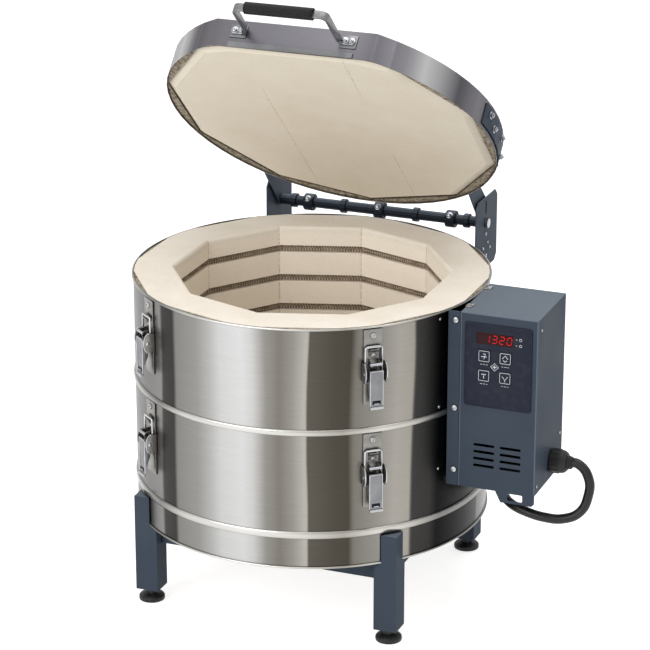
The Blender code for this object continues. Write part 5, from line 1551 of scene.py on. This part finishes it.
@dataclass
class Keypad:
    """The membrane keypad: film, red display, key outlines and plain marks."""

    left: float = 0.398
    right: float = 0.544
    low: float = 0.514
    high: float = 0.698
    front: float = -0.1432
    window: tuple[float, float, float, float] = (0.424, 0.654, 0.5025, 0.678)
    reading: str = "1320"
    digit_pitch: float = 0.0160
    digit_width: float = 0.0096
    digit_height: float = 0.0160
    digit_lean: float = 0.12
    digit_stroke: float = 0.0009
    segments: tuple[tuple[str, str], ...] = (
        ("0", "abcdef"), ("1", "bc"), ("2", "abdeg"), ("3", "abcdg"))
    glyphs: tuple[Glyph, ...] = (Glyph.LINES, Glyph.UP, Glyph.TEE, Glyph.FORK)
    key_half: float = 0.013
    diamond: Flat = (0.464, 0.6055)

    def build(self, placer: Placer) -> None:
        """Lay the film and everything printed on it or seen through it."""
        x0, z0, x1, z1 = self.window
        holes = [*key_holes(), rounded(x0 - 0.0003, z0 - 0.0003, x1 + 0.0003, z1 + 0.0003,
                                       0.0005)]
        edge = rounded(self.left, self.low, self.right, self.high, 0.006, 6)
        inner = rounded(self.left + 0.0016, self.low + 0.0016, self.right - 0.0016,
                        self.high - 0.0016, 0.005, 6)
        parts = [sheet([edge, *holes], -self.front - 0.0014, -self.front, Axis.Y, 0.0003),
                 sheet([edge, inner], -self.front - 0.0004, -self.front + 0.0004, Axis.Y,
                       0.0002)]
        placer.put(joined(*parts), "keypad_film", FILM, replaces=["keypad_overlay"],
                   edge=Edge.PRESSED)
        pane = box((x0, self.front, z0), (x1, self.front + 0.0012, z1), 0.0004)
        # The pane's faint glow is painted light
        placer.put(pane, "display_pane", WINDOW, replaces=["display_window"])
        digits = [self.digit(text, x1 - 0.0133 - self.digit_pitch * place, z0 + 0.0040)
                  for place, text in enumerate(reversed(self.reading))]
        placer.put(joined(*digits), "display_digits", DIGITS)
        for name, middle, glyph in zip(KEY_NAMES, KEY_PLACES, self.glyphs):
            self.key(placer, name, middle, glyph)
        self.marks(placer)

    def digit(self, text: str, left: float, low: float) -> bpy.types.Object:
        """Build one seven-segment digit, leaning a little."""
        spans = {"a": ((0, 2), (1, 2)), "b": ((1, 1), (1, 2)), "c": ((1, 0), (1, 1)),
                 "d": ((0, 0), (1, 0)), "e": ((0, 0), (0, 1)), "f": ((0, 1), (0, 2)),
                 "g": ((0, 1), (1, 1))}
        bars = []
        for mark in dict(self.segments)[text]:
            ends = []
            for across, up in spans[mark]:
                rise = up * self.digit_height / 2
                ends.append(Vector((left + across * self.digit_width + rise * self.digit_lean,
                                    self.front - 0.0002, low + rise)))
            gap = (ends[1] - ends[0]).normalized() * 0.0012
            bars.append(wire([ends[0] + gap, ends[1] - gap], self.digit_stroke, 6))
        return joined(*bars)

    def printed(self, level: float, middle: Flat, path: Iterable[Flat], half: float,
                closed: bool = False) -> bpy.types.Object:
        """Print one stroke of ink about a middle.

        Args:
            level: The depth that the ink lies at.
            middle: The mark's middle on the panel.
            path: The stroke's corners from the middle.
            half: Half the stroke's width.
            closed: Whether the stroke is a loop.

        Returns:
            The stroke's mesh object.
        """
        return wire([(middle[0] + across, level, middle[1] + up) for across, up in path], half, 6,
                    closed)

    def key(self, placer: Placer, name: str, middle: Flat, glyph: Glyph) -> None:
        """Make one key, its printed outline and its mark, which travel together."""
        (x, z), half = middle, self.key_half
        cap = box((x - half, self.front - 0.0012, z - half),
                  (x + half, self.front + 0.0044, z + half), 0.0006)
        placer.put(cap, f"keycap_{name}", FILM, f"key_{name}", [f"key_{name}"])
        level = self.front - 0.0013
        parts = [self.printed(level, middle, rounded(-0.0112, -0.0112, 0.0112, 0.0112, 0.0020),
                              0.0006, closed=True)]
        parts += [self.printed(level, middle, stroke, 0.0009) for stroke in glyph.value]
        placer.put(joined(*parts), f"keymark_{name}", INK, f"key_{name}")

    def marks(self, placer: Placer) -> None:
        """Print the diamond between the keys, the two small lights and the captions."""
        level = self.front - 0.0002
        strokes = [(self.diamond, diamond_path(0.0085), 0.0008, True),
                   (self.diamond, ((-0.004, 0), (0.004, 0)), 0.0012, False),
                   (self.diamond, ((0, -0.004), (0, 0.004)), 0.0012, False)]
        for up in (0.672, 0.659):
            strokes.append(((0.5105, up), diamond_path(0.0014), 0.0004, True))
            strokes.append(((0.5190, up), rounded(-0.0024, -0.0024, 0.0024, 0.0024, 0.0015),
                            0.0005, True))
        for x, z in KEY_PLACES:
            for start, end in ((-0.008, -0.004), (-0.002, 0.003), (0.005, 0.008)):
                strokes.append(((x, z - 0.0185), ((start, 0), (end, 0)), 0.0006, False))
        placer.put(joined(*(self.printed(level, *stroke) for stroke in strokes)),
                   "keypad_marks", INK)


def diamond_path(reach: float) -> tuple[Flat, ...]:
    """Give the corners of a diamond about its middle."""
    return ((0.0, reach), (reach, 0.0), (0.0, -reach), (-reach, 0.0))


@dataclass
class LevelingFeet:
    """The four turned feet."""

    x: float = 0.2766
    y: float = 0.2546
    threads: int = 5

    def build(self, placer: Placer) -> None:
        """Turn one foot and stand a copy of it under each leg."""
        names, places = [], []
        for end, end_name in ((-1, "front"), (1, "back")):
            for side, side_name in SIDES:
                names.append(f"{end_name}_{side_name}")
                places.append(Matrix.Translation((side * self.x, end * self.y, 0.0)))
        for name, foot in zip(names, copied(self.foot(), places)):
            placer.put(foot, f"foot_{name}_pad", RUBBER, f"foot_{name}",
                       [f"leveling_foot_{name}"])

    def foot(self) -> bpy.types.Object:
        """Turn the pad, the nut and the threaded stem."""
        pad = turned([(POLE, 0.0), (0.0255, 0.0), (0.0278, 0.0012), (0.0285, 0.0040),
                      (0.0280, 0.0090), (0.0255, 0.0118), (0.0180, 0.0140), (0.0150, 0.0146),
                      (POLE, 0.0146)], segments=40)
        nut = turned([(POLE, 0.0140), (0.0125, 0.0140), (0.0132, 0.0152), (0.0132, 0.0215),
                      (0.0122, 0.0228), (POLE, 0.0228)], segments=6)
        stem = [(POLE, 0.0220)]
        for count in range(self.threads):
            low = 0.0228 + count * 0.0014
            stem += [(0.0054, low), (0.0060, low + 0.0007)]
        stem += [(0.0054, 0.0297), (0.0054, 0.0740), (POLE, 0.0750)]
        return joined(pad, nut, turned(stem, segments=20))


@dataclass
class SupplyCord:
    """The mains lead: out of the gland, under the case and to its coil behind the stand."""

    radius: float = 0.0105
    step: float = 0.040
    exit: Point = (0.5943, -0.026, 0.367)
    route: tuple[Point, ...] = (
        (0.636, -0.030, 0.353), (0.645, -0.036, 0.322), (0.640, -0.043, 0.287),
        (0.622, -0.050, 0.260), (0.588, -0.056, 0.248), (0.545, -0.060, 0.249),
        (0.500, -0.054, 0.256), (0.462, -0.030, 0.261), (0.437, 0.024, 0.262),
        (0.428, 0.090, 0.258), (0.405, 0.160, 0.248), (0.375, 0.225, 0.228),
        (0.315, 0.300, 0.195), (0.250, 0.350, 0.140), (0.185, 0.378, 0.080),
        (0.115, 0.388, 0.032), (0.050, 0.390, 0.0125), (-0.010, 0.390, 0.0110))
    coil_radius: float = 0.135
    coil_centre: Flat = (-0.060, 0.525)
    coil_shrink: float = 0.0225
    coil_level: float = 0.0110
    climb: float = 0.0300
    climb_turns: float = 0.30
    turns: float = 1.20
    turn_steps: int = 24
    gland_ridges: int = 12

    def build(self, placer: Placer) -> None:
        coil = self.coil()
        back = (coil[0] - coil[1]).normalized()
        start = Vector(self.exit)
        lead = Vector((2 * self.radius, 0, 0))
        route = [start + lead, *map(Vector, self.route), coil[0] + back * (2 * self.radius)]
        heading = coil[-1] - coil[-2]
        heading.z = 0
        heading.normalize()
        end = coil[-1] + heading * (2 * self.radius)
        points = [start, *self.even(route), *coil, end]
        line = bpy.data.curves.new("supply_cord", "CURVE")
        line.dimensions = "3D"
        line.bevel_depth = self.radius
        line.bevel_resolution = 4
        line.resolution_u = 6
        line.use_fill_caps = True
        spline = line.splines.new("BEZIER")
        spline.bezier_points.add(len(points) - 1)
        for knot, point in zip(spline.bezier_points, points):
            knot.co = AXIS + point
            knot.handle_left_type = knot.handle_right_type = "AUTO"
        cord = bpy.data.objects.new("supply_cord", line)
        bpy.context.collection.objects.link(cord)
        line.materials.append(placer.material(VINYL))
        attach(cord, "kiln")
        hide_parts("cord_run", "cord_coil")
        plug = self.plug(placer, end, heading)
        relief = self.gland(placer)

    def even(self, route: Sequence[Vector]) -> list[Vector]:
        """Give even points on a smooth curve through the route."""
        fine = []
        padded = [route[0] * 2 - route[1], *route, route[-1] * 2 - route[-2]]
        for first, low, high, last in zip(padded, padded[1:], padded[2:], padded[3:]):
            for count in range(16):
                t = count / 16
                fine.append(low + (high - first) * (t / 2)
                            + (first * 2 - low * 5 + high * 4 - last) * (t * t / 2)
                            + (low * 3 - first - high * 3 + last) * (t ** 3 / 2))
        fine.append(route[-1])
        lengths = [0.0]
        for before, after in zip(fine, fine[1:]):
            lengths.append(lengths[-1] + (after - before).length)
        count = round(lengths[-1] / self.step)
        points, index = [], 0
        for number in range(count + 1):
            goal = lengths[-1] * number / count
            while index < len(fine) - 2 and lengths[index + 1] < goal:
                index += 1
            share = (goal - lengths[index]) / (lengths[index + 1] - lengths[index])
            points.append(fine[index].lerp(fine[index + 1], share))
        return points

    def coil(self) -> list[Vector]:
        """Give the turns on the floor, the end climbing onto them."""
        points = []
        for step in range(round(self.turns * self.turn_steps) + 1):
            turn = step / self.turn_steps
            across, along = polar(self.coil_radius - self.coil_shrink * turn, -90 - 360 * turn)
            share = max(0.0, 1 - (self.turns - turn) / self.climb_turns)
            points.append(Vector((self.coil_centre[0] + across, self.coil_centre[1] + along,
                                  self.coil_level
                                  + self.climb * share * share * (3 - 2 * share))))
        return points

    def plug(self, placer: Placer, place: Vector, heading: Vector) -> list[bpy.types.Object]:
        """Mould the plug with its ribbed neck, grip dents, blades and ground pin.

        Args:
            placer: Where finished pieces go.
            place: Where the lead ends.
            heading: The lead's level direction there.

        Returns:
            The mould and its metal.
        """
        turn = math.atan2(heading.y, heading.x)
        seat = Matrix.Translation(place + heading * 0.0003) @ Matrix.Rotation(turn, 4, "Z")
        neck = [(POLE, 0.0), (0.0122, 0.0)]
        for count in range(4):
            low = 0.0015 + count * 0.0045
            neck += [(0.0140, low), (0.0140, low + 0.0024), (0.0122, low + 0.0028),
                     (0.0122, low + 0.0042)]
        neck += [(0.0140, 0.0225), (POLE, 0.0225)]
        body = box((0.022, -0.025, -0.018), (0.084, 0.025, 0.018), 0.007, 4)
        face = box((0.080, -0.0205, -0.0140), (0.0846, 0.0205, 0.0140), 0.0008)
        ridges = copied(box((0.034, -0.0255, -0.0120), (0.037, 0.0255, 0.0120), 0.0010),
                        [Matrix.Translation((0.007 * count, 0, 0)) for count in range(5)])
        mould = moved(joined(turned(neck, Axis.X, segments=24), body, face, *ridges), seat)
        blades = copied(box((0.083, -0.001, -0.0035), (0.1040, 0.001, 0.0035), 0.0006),
                        [Matrix.Translation((0, side * 0.013, 0)) for side, _ in SIDES])
        pin = turned([(POLE, 0.083), (0.0032, 0.083), (0.0032, 0.1015), (0.0020, 0.1040),
                      (POLE, 0.1042)], Axis.X, (0.0, 0.0, 0.0096), 16)
        metal = moved(joined(*blades, pin), seat)
        return [placer.put(mould, "plug_mould", RUBBER, replaces=["cord_plug"]),
                placer.put(metal, "plug_blades", PLATE, edge=Edge.PRESSED)]

    def gland(self, placer: Placer) -> bpy.types.Object:
        """Mould the gland's ridged cap and the tapered strain relief, which is returned."""
        centre = (0.0, *self.exit[1:])
        body = turned([(0.0106, 0.5460), (0.0210, 0.5460), (0.0210, 0.5542), (0.0150, 0.5542),
                       (0.0150, 0.5563), (0.0238, 0.5563), (0.0252, 0.5580), (0.0252, 0.5780),
                       (0.0244, 0.5840), (0.0222, 0.5892), (0.0180, 0.5932), (0.0106, 0.5939)],
                      Axis.X, centre, 40, closed=True)
        spots = [polar(0.0250, 360 / self.gland_ridges * count)
                 for count in range(self.gland_ridges)]
        ridges = copied(wire([(0.5590, 0, 0), (0.5775, 0, 0)], 0.0016, 6), [
            Matrix.Translation((0, centre[1] + across, centre[2] + up)) for across, up in spots])
        placer.put(joined(body, *ridges), "gland_cap", RUBBER, replaces=["cord_gland"])
        sleeve = [(0.0109, 0.5941), (0.0150, 0.5941), (0.0146, 0.5975), (0.0134, 0.5980),
                  (0.0134, 0.5995), (0.0138, 0.6000), (0.0132, 0.6030), (0.0109, 0.6034)]
        return placer.put(turned(sleeve, Axis.X, centre, 28, closed=True), "strain_relief",
                          RUBBER)


def main() -> None:
    """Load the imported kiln, dress it and set it in the studio."""
    logging.basicConfig(level=logging.INFO, format="%(name)s: %(message)s")
    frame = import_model()
    Studio().build()
    placer = Placer()
    placer.dress(frame)
    for group in (SupplyCord(), HeatingElements(), Insulation(), Jackets(), Seams(), Latches(),
                  LidFurniture(), HingeHardware(), ControlFront(), Keypad(), LevelingFeet()):
        group.build(placer)
    LOG.info("%d pieces placed", placer.count)


if __name__ == "__main__":
    main()
